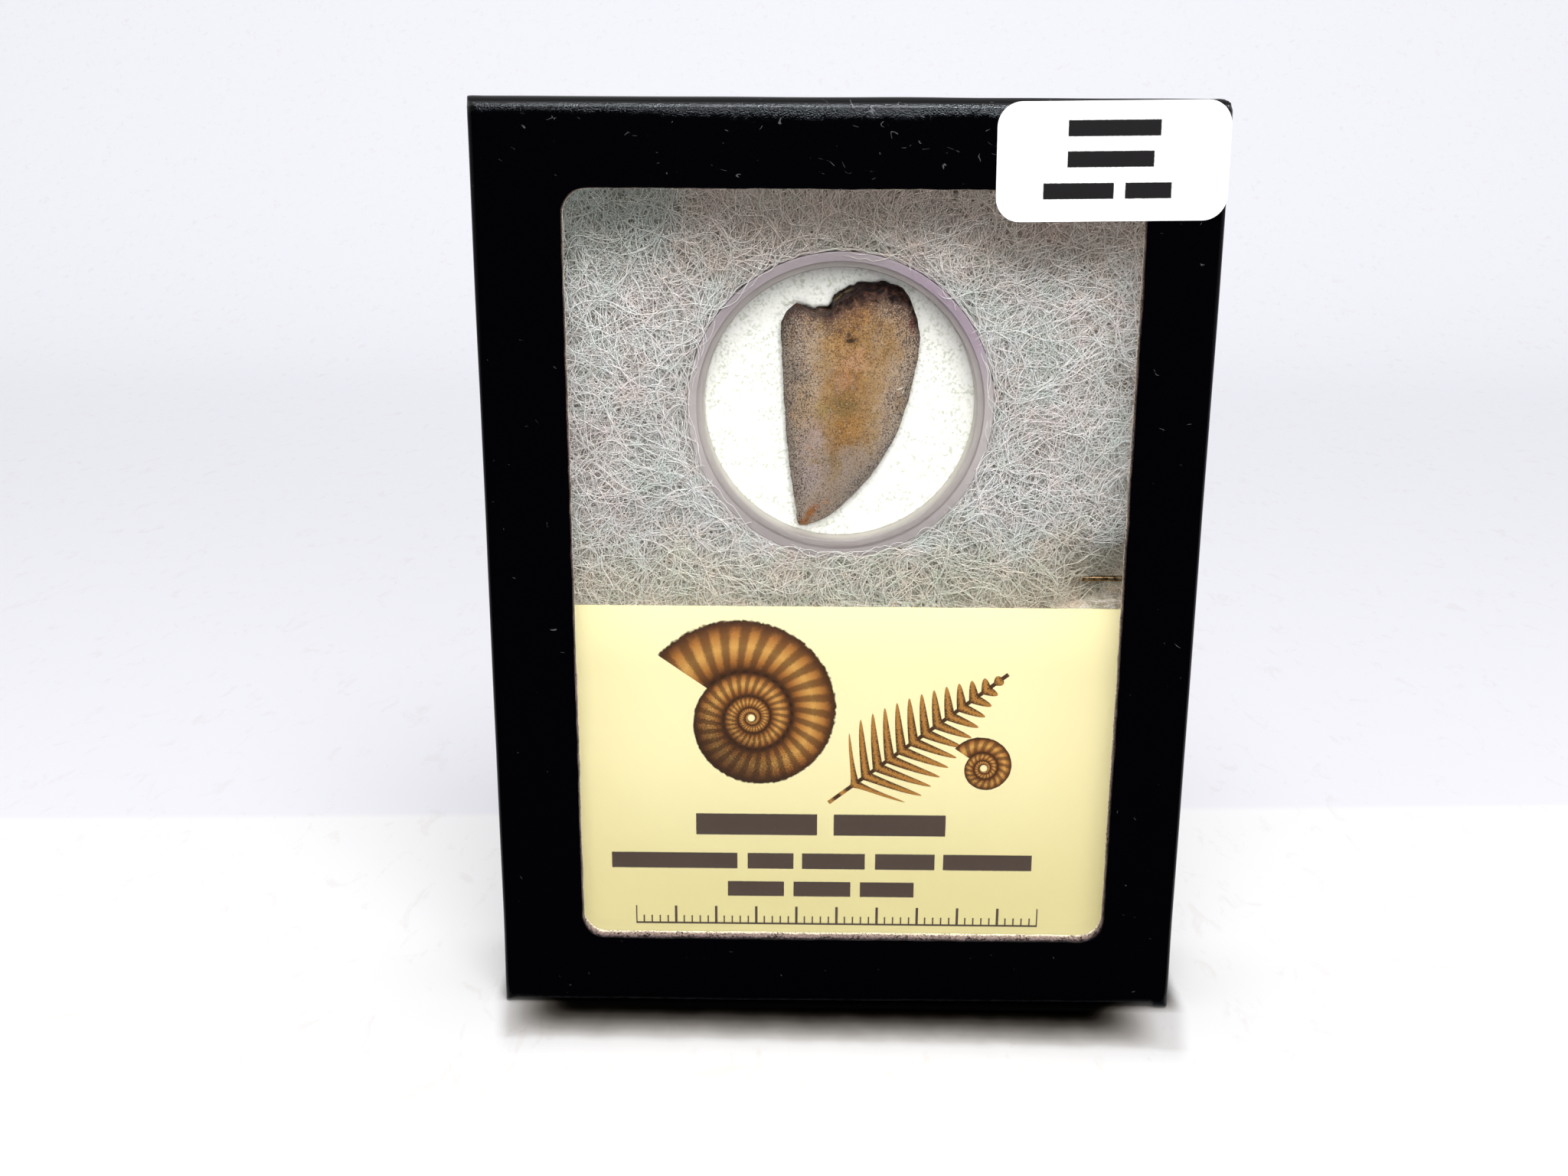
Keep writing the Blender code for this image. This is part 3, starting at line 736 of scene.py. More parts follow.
def card_print():
    """Pale yellow card printed with a coiled shell, a frond, bars for words and a scale."""
    f = Finish("card_print", specular_ior_level=0.3, roughness=0.6)
    x, _, z = f.axes()
    x, z = x / MM, z / MM
    stock = f.blend(f.grain(0.5 * MM, 4, 0.6), tone(240, 231, 181), tone(244, 236, 189))
    # painted shade: the card darker towards the bottom, under the window's lower edge
    stock = f.blend(f.span(z, 38, 10, 0, 0.9), stock, tone(217, 206, 151))
    # painted shade towards the left and right, by the window's side edges
    stock = f.blend(f.span(abs(x), 20, 33, 0, 0.45), stock, tone(228, 215, 162))
    stipple = f.grain(0.17 * MM, 2, 0.7)
    coarse = f.grain(0.5 * MM, 4, 0.7)
    print_brown = tone(78, 66, 60)

    def local(cx, cz, degrees):
        """Millimetres along and across a line through a place on the card."""
        turn = math.radians(degrees)
        dx, dz = x - cx, z - cz
        along = dx * math.cos(turn) + dz * math.sin(turn)
        across = dz * math.cos(turn) - dx * math.sin(turn)
        return along, across

    def off_middle(value):
        """How far a value lies from the middle between two whole numbers."""
        return abs(f.sum("FRACT", value) - 0.5)

    def coil(cx, cz, outer, growth, ribs, ink):
        """A coiled shell on the card: whorls between growing spirals, with ribs across them."""
        dx, dz = local(cx, cz, -35)
        radius = f.sum("SQRT", dx * dx + dz * dz)
        turn = f.sum("ARCTAN2", dz, dx) / math.tau
        wobble = (coarse - 0.5) * 0.1
        turns = f.sum("LOGARITHM", radius / outer, math.e) / math.log(growth)
        turns = turns - turn + wobble
        inside = f.span(turns, 0.015, -0.015) * f.span(radius, 0.35, 0.5)
        whorl = f.sum("FRACT", turns)
        shade = f.ladder(whorl, (
            (0.0, tone(30, 18, 12)), (0.10, tone(84, 50, 24)), (0.30, tone(160, 104, 48)),
            (0.58, tone(206, 156, 84)), (0.80, tone(168, 112, 54)), (0.93, tone(90, 54, 28)),
            (1.0, tone(26, 16, 12)),
        ))
        rib = f.sum("SINE", (turn * ribs + whorl * 0.9) * math.tau)
        rib = f.span(rib + (stipple - 0.5) * 2.4, -0.5, 0.6, 0.7, 0.0)
        shade = f.blend(rib, shade, tone(72, 44, 26))
        dark_side = f.span(dz + (stipple - 0.5) * 14.0, 1.0, -6.5, 0, 0.8)
        shade = f.blend(dark_side, shade, tone(48, 31, 24))
        return f.blend(inside, ink, shade)

    def frond(cx, cz, degrees, length, reach, spacing, ink):
        """A fern frond: narrow leaflets in pairs along a stem, shorter towards its tip."""
        along, across = local(cx, cz, degrees)
        along = along - across * across * 0.012
        off = abs(across)
        part = along / length
        room = (1.0 - part * part) * reach
        room = room * f.span(part, -0.02, 0.22)
        slant = along - off * 0.55
        cell = off_middle(slant / spacing)
        width = f.sum("SQRT", f.sum("SUBTRACT", 1.0, off / room, clamp=True)) * 0.4
        leaf = f.span(width - cell, -0.02, 0.03)
        leaf = leaf * f.sum("LESS_THAN", off, room)
        leaf = leaf * f.between(along, 0.0, length)
        stem = f.span(off, 0.3, 0.2) * f.between(along, -3.0, length)
        tint = f.span(cell + (stipple - 0.5) * 0.9, 0.02, 0.3)
        tint = f.blend(tint, tone(176, 124, 60), tone(66, 42, 26))
        return f.blend(f.sum("MAXIMUM", leaf, stem), ink, tint)

    def words(low, high, edges, ink):
        """One line of print as plain bars, each as long as a word."""
        ragged = (stipple - 0.5) * 0.12
        line = f.between(z + ragged, low, high, 0.05)
        start, end = edges[0][0] - 1, edges[-1][1] + 1
        steps = [(0.0, (0, 0, 0, 1))]
        for first, last in edges:
            steps.append(((first - start) / (end - start), (1, 1, 1, 1)))
            steps.append(((last - start) / (end - start), (0, 0, 0, 1)))
        place = (x + ragged - start) / (end - start)
        here = f.ladder(place, steps, "CONSTANT")
        return f.blend(line * here, ink, print_brown)

    ink = frond(1.2, 27.6, 38, 24.0, 6.6, 1.8, stock)
    ink = coil(-10.6, 36.6, 9.4, 2.1, 28, ink)
    ink = coil(17.6, 30.4, 3.1, 2.0, 18, ink)
    for low, high, edges in (
        (21.4, 24.2, ((-17.4, -2.6), (-0.6, 13.1))),
        (16.9, 19.0, ((-27.9, -12.4), (-11.2, -5.6), (-4.4, 3.4), (4.6, 11.8), (13.0, 23.8))),
        (13.2, 15.2, ((-13.6, -6.6), (-5.4, 1.6), (2.8, 9.5))),
    ):
        ink = words(low, high, edges, ink)

    # the scale: a rule with a tick at each millimetre and a longer one at each fifth
    reach = f.between(x, -25.0, 25.0, 0.02)
    scale = reach * f.between(z, 9.35, 9.6, 0.03)
    fifth = f.sum("FRACT", (x + 5.0) / 5.0)
    for place, tip, half, soft in ((x, 10.5, 0.09, 0.02), (fifth, 11.8, 0.032, 0.006)):
        tick = f.between(z, 9.4, tip, 0.03) * f.between(off_middle(place + 0.5), -1, half, soft)
        scale = f.sum("MAXIMUM", scale, reach * tick)
    ink = f.blend(scale, ink, print_brown)
    f.set("Base Color", ink)
    f.set("Roughness", f.span(f.grain(0.3 * MM, 3), 0.3, 0.7, 0.5, 0.7))
    f.set("Normal", f.relief(f.grain(0.25 * MM, 4, 0.6), 0.02 * MM, 0.4))
    return f.material


def label_paper():
    """Bright white sticker with printed bars in three lines where words would be."""
    f = Finish("label_paper", specular_ior_level=0.35, roughness=0.5)
    x, _, z = f.axes(f.moved(LABEL_CENTRE, (0, LABEL_TILT, 0)))
    x, z = x / MM, z / MM
    stipple = (f.grain(0.17 * MM, 2, 0.7) - 0.5) * 0.1
    ink = f.blend(f.grain(0.6 * MM, 3), tone(247, 247, 248), tone(254, 254, 254))
    x, z = x + stipple, z + stipple
    for low, high, left, right in (
        (2.6, 4.3, -4.9, 5.0), (-0.6, 1.1, -4.9, 4.4), (-3.9, -2.2, -7.4, 0.2),
        (-3.9, -2.2, 1.4, 6.4),
    ):
        bar = f.between(z, low, high) * f.between(x, left, right)
        ink = f.blend(bar, ink, tone(28, 26, 28))
    f.set("Base Color", ink)
    f.set("Normal", f.relief(f.grain(0.2 * MM, 4), 0.012 * MM, 0.4))
    return f.material


# Lid

def window_cutter():
    """A closed plug of the window's shape, with a finely frayed wall."""
    width = WINDOW_HIGH[0] - WINDOW_LOW[0]
    height = WINDOW_HIGH[1] - WINDOW_LOW[1]
    centre = ((WINDOW_HIGH[0] + WINDOW_LOW[0]) / 2, (WINDOW_HIGH[1] + WINDOW_LOW[1]) / 2)
    put_down()
    bpy.ops.mesh.primitive_plane_add(
        size=1, location=(centre[0], at_depth(-0.5 * MM), centre[1]), rotation=(math.pi / 2, 0, 0)
    )
    plug = fresh("window_plug")
    plug.scale = (width, height, 1)
    settle(plug)
    open_mesh(plug, "VERT")
    choose_all()
    bevel(WINDOW_CORNER, 9, "VERTICES")
    bpy.ops.mesh.select_mode(type="EDGE")
    choose(plug, "edges", lambda edge: edge.calc_length() > 10 * MM)
    bpy.ops.mesh.subdivide(number_cuts=110)
    bpy.ops.mesh.select_mode(type="FACE")
    choose_all()
    for step in (0.5, 0.15, 0.25, 0.3, 0.3, 0.3, 0.2, 0.25):
        pull(0, step * MM, 0)
    close_mesh()
    tidy_skin(plug)
    points = read_points(plug)
    away = points - np.array([centre[0], 0, centre[1]])
    inner = np.array([width / 2 - WINDOW_CORNER, 0, height / 2 - WINDOW_CORNER])
    out = away - np.clip(away, -inner, inner)
    out[:, 1] = 0
    length = np.linalg.norm(out, axis=1, keepdims=True)
    out = out / np.maximum(length, 1e-9)
    depth = points[:, 1] - FRONT
    fray = 0.035 * lumps(points, 0.6 * MM, 1) + 0.05 * lumps(points, 2.5 * MM, 2)
    front_share = 1 - np.clip(depth / BOARD, 0, 1)
    lip = -0.07 * (1 - front_share) + 0.20 * front_share * ease(-out[:, 2], 0.2, 0.9)
    points += out * ((fray + lip) * MM)[:, None]
    write_points(plug, points)
    return plug


def make_lid():
    """The shallow board lid, wrapped in paper, with its window cut out."""
    lid = block("lid", LID_LOW, LID_HIGH)
    open_mesh(lid, "EDGE")
    choose(lid, "edges", in_front_of(at_depth(0.1 * MM)))
    bevel(PAPER_ROUNDING, 5)
    choose(lid, "edges", runs_back(10 * MM))
    bevel(0.25 * MM, 2)
    close_mesh()
    cut(lid, block(
        "lid_hollow",
        (LID_LOW.x + BOARD, at_depth(BOARD), LID_LOW.z + BOARD),
        (LID_HIGH.x - BOARD, LID_HIGH.y + 2 * MM, LID_HIGH.z - BOARD),
    ))
    near_corner = np.array([41.0, 40.6, 40.2, 39.8, 39.55, 39.3, 39.0])
    score(lid, 0, np.concatenate([-near_corner, np.arange(-38, 38.1, 2.6), near_corner]) * MM)
    near_top = np.array([101.5, 103.0, 104.0, 104.9, 105.5, 106.0, 106.4, 106.75])
    score(lid, 2, np.concatenate([np.arange(2.2, 9, 1.7), np.arange(9, 100, 3.0), near_top]) * MM)
    score(lid, 1, [at_depth(d * MM) for d in (3, 6, 10, 14)])
    cut(lid, window_cutter())

    points = read_points(lid)
    x, y, z = points.T
    half = LID_HIGH.x
    top = LID_HIGH.z
    # where the grey line along the bottom front edge goes
    bottom_line = np.exp(-((z - 0.25 * MM) / (0.2 * MM)) ** 2) * (y < at_depth(0.5 * MM))
    ear_left = ease(x, -half + 0.35 * MM, -half + 1.7 * MM)
    ear_right = ease(-x, -half + 1.75 * MM, -half + 2.15 * MM)
    for side, worn in ((-1, 0.5 * MM), (1, 1.7 * MM)):
        past_x, past_z = np.maximum(side * x - half + worn, 0), np.maximum(z - top + worn, 0)
        past = np.hypot(past_x, past_z)
        back = np.where(past > worn, 1 - worn / np.maximum(past, 1e-9), 0.0)
        x, z = x - side * past_x * back, z - past_z * back
    bow = 0.26 + 0.24 * ease(x, -10 * MM, 38 * MM) + 0.05 * lumps(points * [1, 0, 0], 9 * MM, 4)
    lift = bow * ear_left * ear_right * np.exp(-np.maximum(z, 0) / (3 * MM))
    sag = 0.04 + 0.05 * lumps(points * [1, 0, 0], 11 * MM, 5)
    sag = sag * ease(half - np.abs(x), 0.5 * MM, 2.4 * MM)
    sag = sag * np.exp(-np.maximum(top - z, 0) / (3 * MM))
    z = z + (lift - sag) * MM
    waist = 0.04 + 0.10 * ease(z, 1 * MM, 12 * MM) + 0.04 * lumps(points * [0, 0, 1], 14 * MM, 6)
    near_side = np.exp(-(half - np.abs(x)) / (3 * MM))
    x = x - np.sign(x) * waist * near_side * MM
    on_front = np.exp(-np.maximum(y - FRONT, 0) / (1.2 * MM))
    y = y + on_front * np.clip(0.05 + 0.07 * lumps(points, 22 * MM, 7), 0, 0.2) * MM
    roll = 0.10 + 0.10 * ease(x, -20 * MM, 20 * MM) + 0.03 * lumps(points * [1, 0, 0], 6 * MM, 8)
    y = y + on_front * roll * np.exp(-np.maximum(top - 0.9 * MM - z, 0) / (0.6 * MM)) * MM
    points = np.clip(np.stack([x, y, z], axis=1), LID_LOW, LID_HIGH)
    write_points(lid, points)
    give(lid, "bottom_line", bottom_line)
    smooth(lid, 38)

    coat(lid, lid_paper(), cut_board())
    margin = 0.6 * MM
    for face in lid.data.polygons:
        c = face.center
        in_window = (WINDOW_LOW[0] - margin < c.x < WINDOW_HIGH[0] + margin
                     and WINDOW_LOW[1] - margin < c.z < WINDOW_HIGH[1] + margin)
        raw = abs(face.normal.y) < 0.75 and c.y < at_depth(BOARD + 0.1 * MM)
        face.material_index = int(in_window and raw)
    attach(lid, "root")
    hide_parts("lid_frame")
    return lid


# Tray

def make_tray():
    """The card tray, with its wrapping turned over onto the back and mitred."""
    tray = block("tray_box", TRAY_LOW, TRAY_HIGH)
    wall, hem, step, edge_line = 1.2 * MM, 11 * MM, 0.14 * MM, 0.01 * MM
    back = TRAY_HIGH.y
    cut(tray, block(
        "tray_hollow",
        (TRAY_LOW.x + wall, TRAY_LOW.y - 2 * MM, TRAY_LOW.z + wall),
        (TRAY_HIGH.x - wall, back - BOARD, TRAY_HIGH.z - wall),
    ))
    open_mesh(tray)

    def on_back(face):
        return face.normal.y > 0.9 and face.calc_center_median().y > back - 0.1 * MM

    choose(tray, "faces", on_back)
    bpy.ops.mesh.inset(thickness=hem)
    bpy.ops.mesh.inset(thickness=0.15 * MM)
    bpy.ops.transform.translate(value=(0, -step, 0))
    bpy.ops.mesh.select_mode(type="EDGE")

    def mitre(edge):
        a, b = edge.verts[0].co, edge.verts[1].co
        slanted = abs(abs(a.x - b.x) - abs(a.z - b.z)) < 0.1 * MM and abs(a.x - b.x) > 5 * MM
        return slanted and min(a.y, b.y) > back - edge_line

    choose(tray, "edges", mitre)
    bevel(0.12 * MM, 2)
    close_mesh()
    points = read_points(tray)
    x, y, z = points.T
    centre_z = (TRAY_LOW.z + TRAY_HIGH.z) / 2
    across = TRAY_HIGH.x - np.abs(x)
    up = (TRAY_HIGH.z - TRAY_LOW.z) / 2 - np.abs(z - centre_z)
    in_groove = (y > back - edge_line) & (np.abs(across - up) < 0.05 * MM) & (across > 0.2 * MM)
    points[in_groove, 1] -= 0.1 * MM
    write_points(tray, points)
    open_mesh(tray, "EDGE")

    def outer(edge):
        a, b = edge.verts[0].co, edge.verts[1].co
        on_rim = min(a.y, b.y) > back - edge_line
        side = all(abs(abs(v.x) - TRAY_HIGH.x) < 1e-5 for v in (a, b))
        level = all(min(abs(v.z - TRAY_LOW.z), abs(v.z - TRAY_HIGH.z)) < 1e-5 for v in (a, b))
        return on_rim and (side or level)

    choose(tray, "edges", outer)
    bevel(0.35 * MM, 3)
    close_mesh()
    smooth(tray, 38)
    coat(tray, tray_card())
    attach(tray, "root")
    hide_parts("tray")
    return tray


# Batting

def make_batting_bed():
    """The thick of the batting, under its loose fibres."""
    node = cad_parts["batting"]
    pick_up(node)
    bpy.ops.object.duplicate()
    bed = fresh("batting_bed")
    tidy_skin(bed, 2e-6)
    worked(bed, "REMESH", mode="VOXEL", voxel_size=0.8 * MM)
    points = read_points(bed)
    x, y, z = points.T
    depth = y - FRONT
    facing = ease(12 * MM - depth, 0, 3 * MM)
    from_jar = np.hypot(x - JAR_X, z - JAR_Z) - JAR_RADIUS
    free = facing * ease(from_jar, -0.2 * MM, 1.2 * MM) * ease(z, 49.8 * MM, 50.6 * MM)
    corner = ease(x, 24 * MM, 33 * MM) * ease(62 * MM - z, 0, 7 * MM)
    low_left = ease(-x, 24 * MM, 33 * MM) * ease(66 * MM - z, 0, 9 * MM)
    sink = 1.0 + 0.5 * lumps(points, 5 * MM, 11) + 0.25 * lumps(points, 1.5 * MM, 12)
    sink = sink + 4.2 * corner + 1.1 * low_left + 0.7 * ease(z, 90 * MM, 99 * MM)
    deepest = np.maximum(y, at_depth(12 * MM))
    points[:, 1] = np.minimum(y + np.maximum(sink, 0.4) * free * MM, deepest)
    write_points(bed, points)
    smooth(bed, 180)
    # the bed is painted darker than the loose fibres, as the shade under them
    coat(bed, batting_wool("batting_deep_shaded", tone(150, 142, 130), tone(202, 196, 188), 0.45))
    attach(bed, "root")
    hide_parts("batting")
    return bed


# In millimetres: the field that the fibres' middles lie in, the glass's back, and the depth
# in front of which a fibre lies over the jar's rim
FIELD_X = (-35.5, 36.5)
FIELD_Z = (48.5, 101.5)
GLASS_BACK = 3.95
OVER_RIM = 4.35


def crimped_fibres(name, count, points_each, radius, nearest, deepest, longest, material, dice):
    """Loose crimped fibres over the batting's face, each a three-sided thread, in millimetres."""
    jar_x, jar_z, jar_radius = JAR_X / MM, JAR_Z / MM, JAR_RADIUS / MM
    length = dice.uniform(7.0, longest, count)
    step = (length / (points_each - 1))[:, None]
    along = step * np.arange(points_each)
    heading = dice.uniform(0, math.tau, count)[:, None]
    bend = dice.normal(0, 0.13, count)[:, None]
    curl = dice.uniform(0.15, 0.8, count)[:, None]
    wave = dice.uniform(4.5, 11.0, count)[:, None]
    phase = dice.uniform(0, math.tau, (3, count, 1))
    angle = heading + bend * along + curl * np.sin(math.tau * along / wave + phase[0])
    angle = angle + 0.12 * np.sin(math.tau * along / (wave * 0.4) + phase[1])
    x = np.cumsum(np.cos(angle) * step, axis=1)
    z = np.cumsum(np.sin(angle) * step, axis=1)
    tries = 2 * count
    spread = np.zeros((tries, 3))
    spread[:, 0] = dice.uniform(*FIELD_X, tries)
    spread[:, 2] = dice.uniform(*FIELD_Z, tries)
    crowd = 0.8 * lumps(spread, 4.5, 61) + 0.5 * lumps(spread, 1.8, 62)
    crowd = crowd + dice.uniform(-1.1, 1.1, tries)
    spread = spread[np.argsort(-crowd)[:count]]
    spread = spread[dice.permutation(count)]
    x += spread[:, :1] - x.mean(axis=1, keepdims=True)
    z += spread[:, 2:] - z.mean(axis=1, keepdims=True)
    depth = nearest + (deepest - nearest) * dice.uniform(0, 1, count)[:, None] ** 0.8
    depth = depth + 0.28 * np.sin(math.tau * along / (wave * 1.3) + phase[2])

    # out of the jar's way, and into the sunken corner
    middle_x, middle_z = x.mean(axis=1) - jar_x, z.mean(axis=1) - jar_z
    off = np.maximum(np.hypot(middle_x, middle_z), 0.1)
    closest = np.hypot(x - jar_x, z - jar_z).min(axis=1)
    shove = np.maximum(jar_radius + dice.uniform(-0.8, 1.8, count) - closest, 0)
    shove = shove + np.where(off < 6, 8.0, 0.0)
    x = x + (middle_x / off * shove)[:, None]
    z = z + (middle_z / off * shove)[:, None]
    edge_x = np.clip((np.abs(x) - 25) / 10, 0, 1)
    corner = np.clip((x - 25) / 8, 0, 1) * np.clip((60 - z) / 7, 0, 1)
    depth = depth + 0.5 * edge_x**2 + 6.5 * corner + 0.8 * np.clip((z - 90) / 9, 0, 1)
    from_x, from_z = x - jar_x, z - jar_z
    distance = np.hypot(from_x, from_z)
    over_rim = depth.mean(axis=1, keepdims=True) < OVER_RIM
    room = jar_radius + np.where(over_rim, -0.75, 0.04)
    push = np.maximum(room + 0.3 * np.abs(np.sin(3 * phase[0] + along)) - distance, 0)
    push = np.where(distance < room, push, 0)
    x, z = x + from_x / distance * push, z + from_z / distance * push
    front = GLASS_BACK + radius + np.clip((52.2 - z) / 1.4, 0, 1) * 0.75
    depth = np.maximum(depth, front)
    on_rim = np.hypot(x - jar_x, z - jar_z) < jar_radius + 0.06
    depth = np.where(over_rim & on_rim, np.minimum(depth, CAP_FRONT / MM - 0.06), depth)
    x, z = np.clip(x, -37.5, 37.5), np.clip(z, 46.5, 104)

    # a three-sided thread round each line
    line = np.stack([x * MM, FRONT + depth * MM, z * MM], axis=2)
    ahead = np.gradient(line, axis=1)
    ahead /= np.maximum(np.linalg.norm(ahead, axis=2, keepdims=True), 1e-12)
    side = np.cross(ahead, np.array([0.0, 1.0, 0.0]))
    side /= np.maximum(np.linalg.norm(side, axis=2, keepdims=True), 1e-12)
    out = np.cross(side, ahead)
    thick = radius * MM * dice.uniform(0.75, 1.25, count)[:, None, None]
    taper = np.ones(points_each)
    taper[0] = taper[-1] = 0.35
    thick = thick * taper[None, :, None]
    turns = (0.5, 0.5 + math.tau / 3, 0.5 + 2 * math.tau / 3)
    rings = [line + thick * (math.cos(a) * side + math.sin(a) * out) for a in turns]
    vertices = np.stack(rings, axis=2).reshape(-1, 3)

    fibre = np.arange(count)[:, None, None] * points_each * 3
    ring = np.arange(points_each - 1)[None, :, None] * 3
    corner_now = np.arange(3)[None, None, :]
    corner_next = (corner_now + 1) % 3
    base = fibre + ring
    quads = np.stack([
        base + corner_now, base + corner_next, base + corner_next + 3, base + corner_now + 3
    ], axis=3).reshape(-1, 4)
    start = fibre[:, 0]
    last = start + (points_each - 1) * 3
    caps = np.concatenate([start + [2, 1, 0], last + [0, 1, 2]])

    mesh = bpy.data.meshes.new(name)
    mesh.from_pydata(vertices, [], quads.tolist() + caps.tolist())
    mesh.validate()
    mesh.shade_smooth()
    mesh.materials.append(material)
    piece = bpy.data.objects.new(name, mesh)
    bpy.context.scene.collection.objects.link(piece)
    give(piece, "shade", np.repeat(dice.uniform(0, 1, count), points_each * 3))
    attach(piece, "root")
    return piece


def make_batting_fibres():
    """Five layers of loose fibres, from the deepest to those against the glass."""
    dice = np.random.default_rng(105)
    bright = batting_wool("batting_bright", tone(236, 235, 234), tone(255, 255, 255))
    # the three deeper layers take this darker copy of the wool as painted shade; those near the
    # glass take the bright one
    soft = batting_wool("batting_soft_shaded", tone(190, 184, 175), tone(255, 253, 250))
    for layer in (
        ("batting_fibres_deep", 2660, 13, 0.026, 5.0, 6.2, 13, soft),
        ("batting_fibres_low", 2660, 13, 0.024, 4.7, 5.8, 13, soft),
        ("batting_fibres_middle", 2660, 13, 0.024, 4.4, 5.4, 14, soft),
        ("batting_fibres_upper", 1960, 17, 0.033, 4.2, 5.1, 17, bright),
        ("batting_fibres_top", 1500, 22, 0.040, 3.9, 4.7, 22, bright),
    ):
        crimped_fibres(*layer, dice)


# Jar

def make_jar():
    """The clear round jar: a cap that slips over a base's neck."""
    inner = JAR_RADIUS - CAP_WALL
    face_back = CAP_FRONT + CAP_FACE
    neck_inner = NECK_RADIUS - 0.85 * MM
    tinted = JAR_RADIUS - 1.0 * MM
    edge = 0.12 * MM
    cap = turned("jar_cap_clear", (
        (0.0, CAP_FRONT), (tinted, CAP_FRONT),
        (JAR_RADIUS - 0.15 * MM, CAP_FRONT + 0.15 * MM, 0.15 * MM, -90, 0, 4),
        (JAR_RADIUS - edge, SKIRT_END - edge, edge, 0, 90, 2),
        (inner + edge, SKIRT_END - edge, edge, 90, 180, 2),
        (inner - edge, face_back + edge, edge, 0, -90, 4),
        (tinted, face_back), (0.0, face_back),
    ), JAR_CENTRE, (0, 1, 0), 144)
    base = turned("jar_base_clear", (
        (0.0, JAR_FLOOR),
        (neck_inner - 0.5 * MM, JAR_FLOOR - 0.5 * MM, 0.5 * MM, 90, 0, 4),
        (neck_inner + edge, RIM_DEPTH + edge, edge, 180, 270, 3),
        (NECK_RADIUS - edge, RIM_DEPTH + edge, edge, -90, 0, 3),
        (NECK_RADIUS + 0.2 * MM, SHOULDER_DEPTH - 0.2 * MM, 0.2 * MM, 180, 90, 3),
        (JAR_RADIUS - edge, SHOULDER_DEPTH + edge, edge, -90, 0, 3),
        (JAR_RADIUS - 0.4 * MM, JAR_BACK - 0.4 * MM, 0.4 * MM, 0, 90, 4),
        (0.0, JAR_BACK),
    ), JAR_CENTRE, (0, 1, 0), 144)
    # each wall: body dark and light, painted shade for the ring's top, painted light for the inner
    # wall, lilac share
    cap_wall = jar_wall_plastic("cap_wall", tone(178, 171, 171), tone(194, 187, 188),
        tone(150, 140, 146), tone(186, 178, 180), 0.55)
    base_wall = jar_wall_plastic("base_wall", tone(172, 167, 164), tone(186, 180, 176),
        tone(158, 153, 149), tone(208, 204, 193), 0.1)
    for piece, node, name, wall_finish, wall_starts in (
        (cap, "jar_cap", "cap_face", cap_wall, tinted),
        (base, "jar_base", "base_floor", base_wall, neck_inner - 0.4 * MM),
    ):
        smooth(piece, 40)
        coat(piece, jar_plastic(name), wall_finish)
        for face in piece.data.polygons:
            off = math.hypot(face.center.x - JAR_X, face.center.z - JAR_Z)
            face.material_index = int(off > wall_starts)
        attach(piece, "root")
        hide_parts(node)
    return cap, base


# Tooth

# Its outline in millimetres from the tip: (across, height) along its edges and its break
LEFT_EDGE = (
    (-0.40, 0.0), (-0.68, 0.7), (-0.80, 2.4), (-1.25, 5.3), (-1.80, 9.1), (-2.15, 13.9),
    (-2.55, 20.5), (-2.80, 30.0),
)
RIGHT_EDGE = (
    (0.60, 0.0), (1.8, 0.6), (3.4, 1.6), (5.4, 3.5), (7.7, 6.0), (10.0, 9.5), (11.3, 12.4),
    (12.6, 17.2), (13.3, 21.4), (13.0, 24.5), (12.5, 27.5), (11.6, 30.0),
)
BREAK_LINE = (
    (-4.2, 22.5), (-2.7, 24.0), (-2.1, 25.1), (-0.9, 26.1), (0.2, 25.6), (1.3, 25.2),
    (2.75, 25.35), (3.1, 25.7), (3.35, 26.7), (5.1, 27.6), (6.9, 28.2), (9.9, 28.3), (11.3, 27.9),
    (12.1, 26.8), (13.0, 24.5), (15.0, 21.5),
)
BREAK_SLOPE = 0.20


def across_at(points, height):
    """How far across a smooth curve through the points lies at each height."""
    xs, zs = np.array(points).T
    last = len(points) - 1
    place = np.clip(np.searchsorted(zs, height, side="right") - 1, 0, last - 1)
    before = np.maximum(place - 1, 0)
    after = np.minimum(place + 2, last)
    start, end = place, place + 1
    gap = zs[end] - zs[start]
    leaving = gap * (xs[end] - xs[before]) / (zs[end] - zs[before])
    arriving = gap * (xs[after] - xs[start]) / (zs[after] - zs[start])
    t = np.clip((height - zs[start]) / gap, 0.0, 1.0)
    rise = t * t * (3 - 2 * t)
    swing = leaving * t * (1 - t) ** 2 - arriving * t * t * (1 - t)
    return xs[start] + (xs[end] - xs[start]) * rise + swing


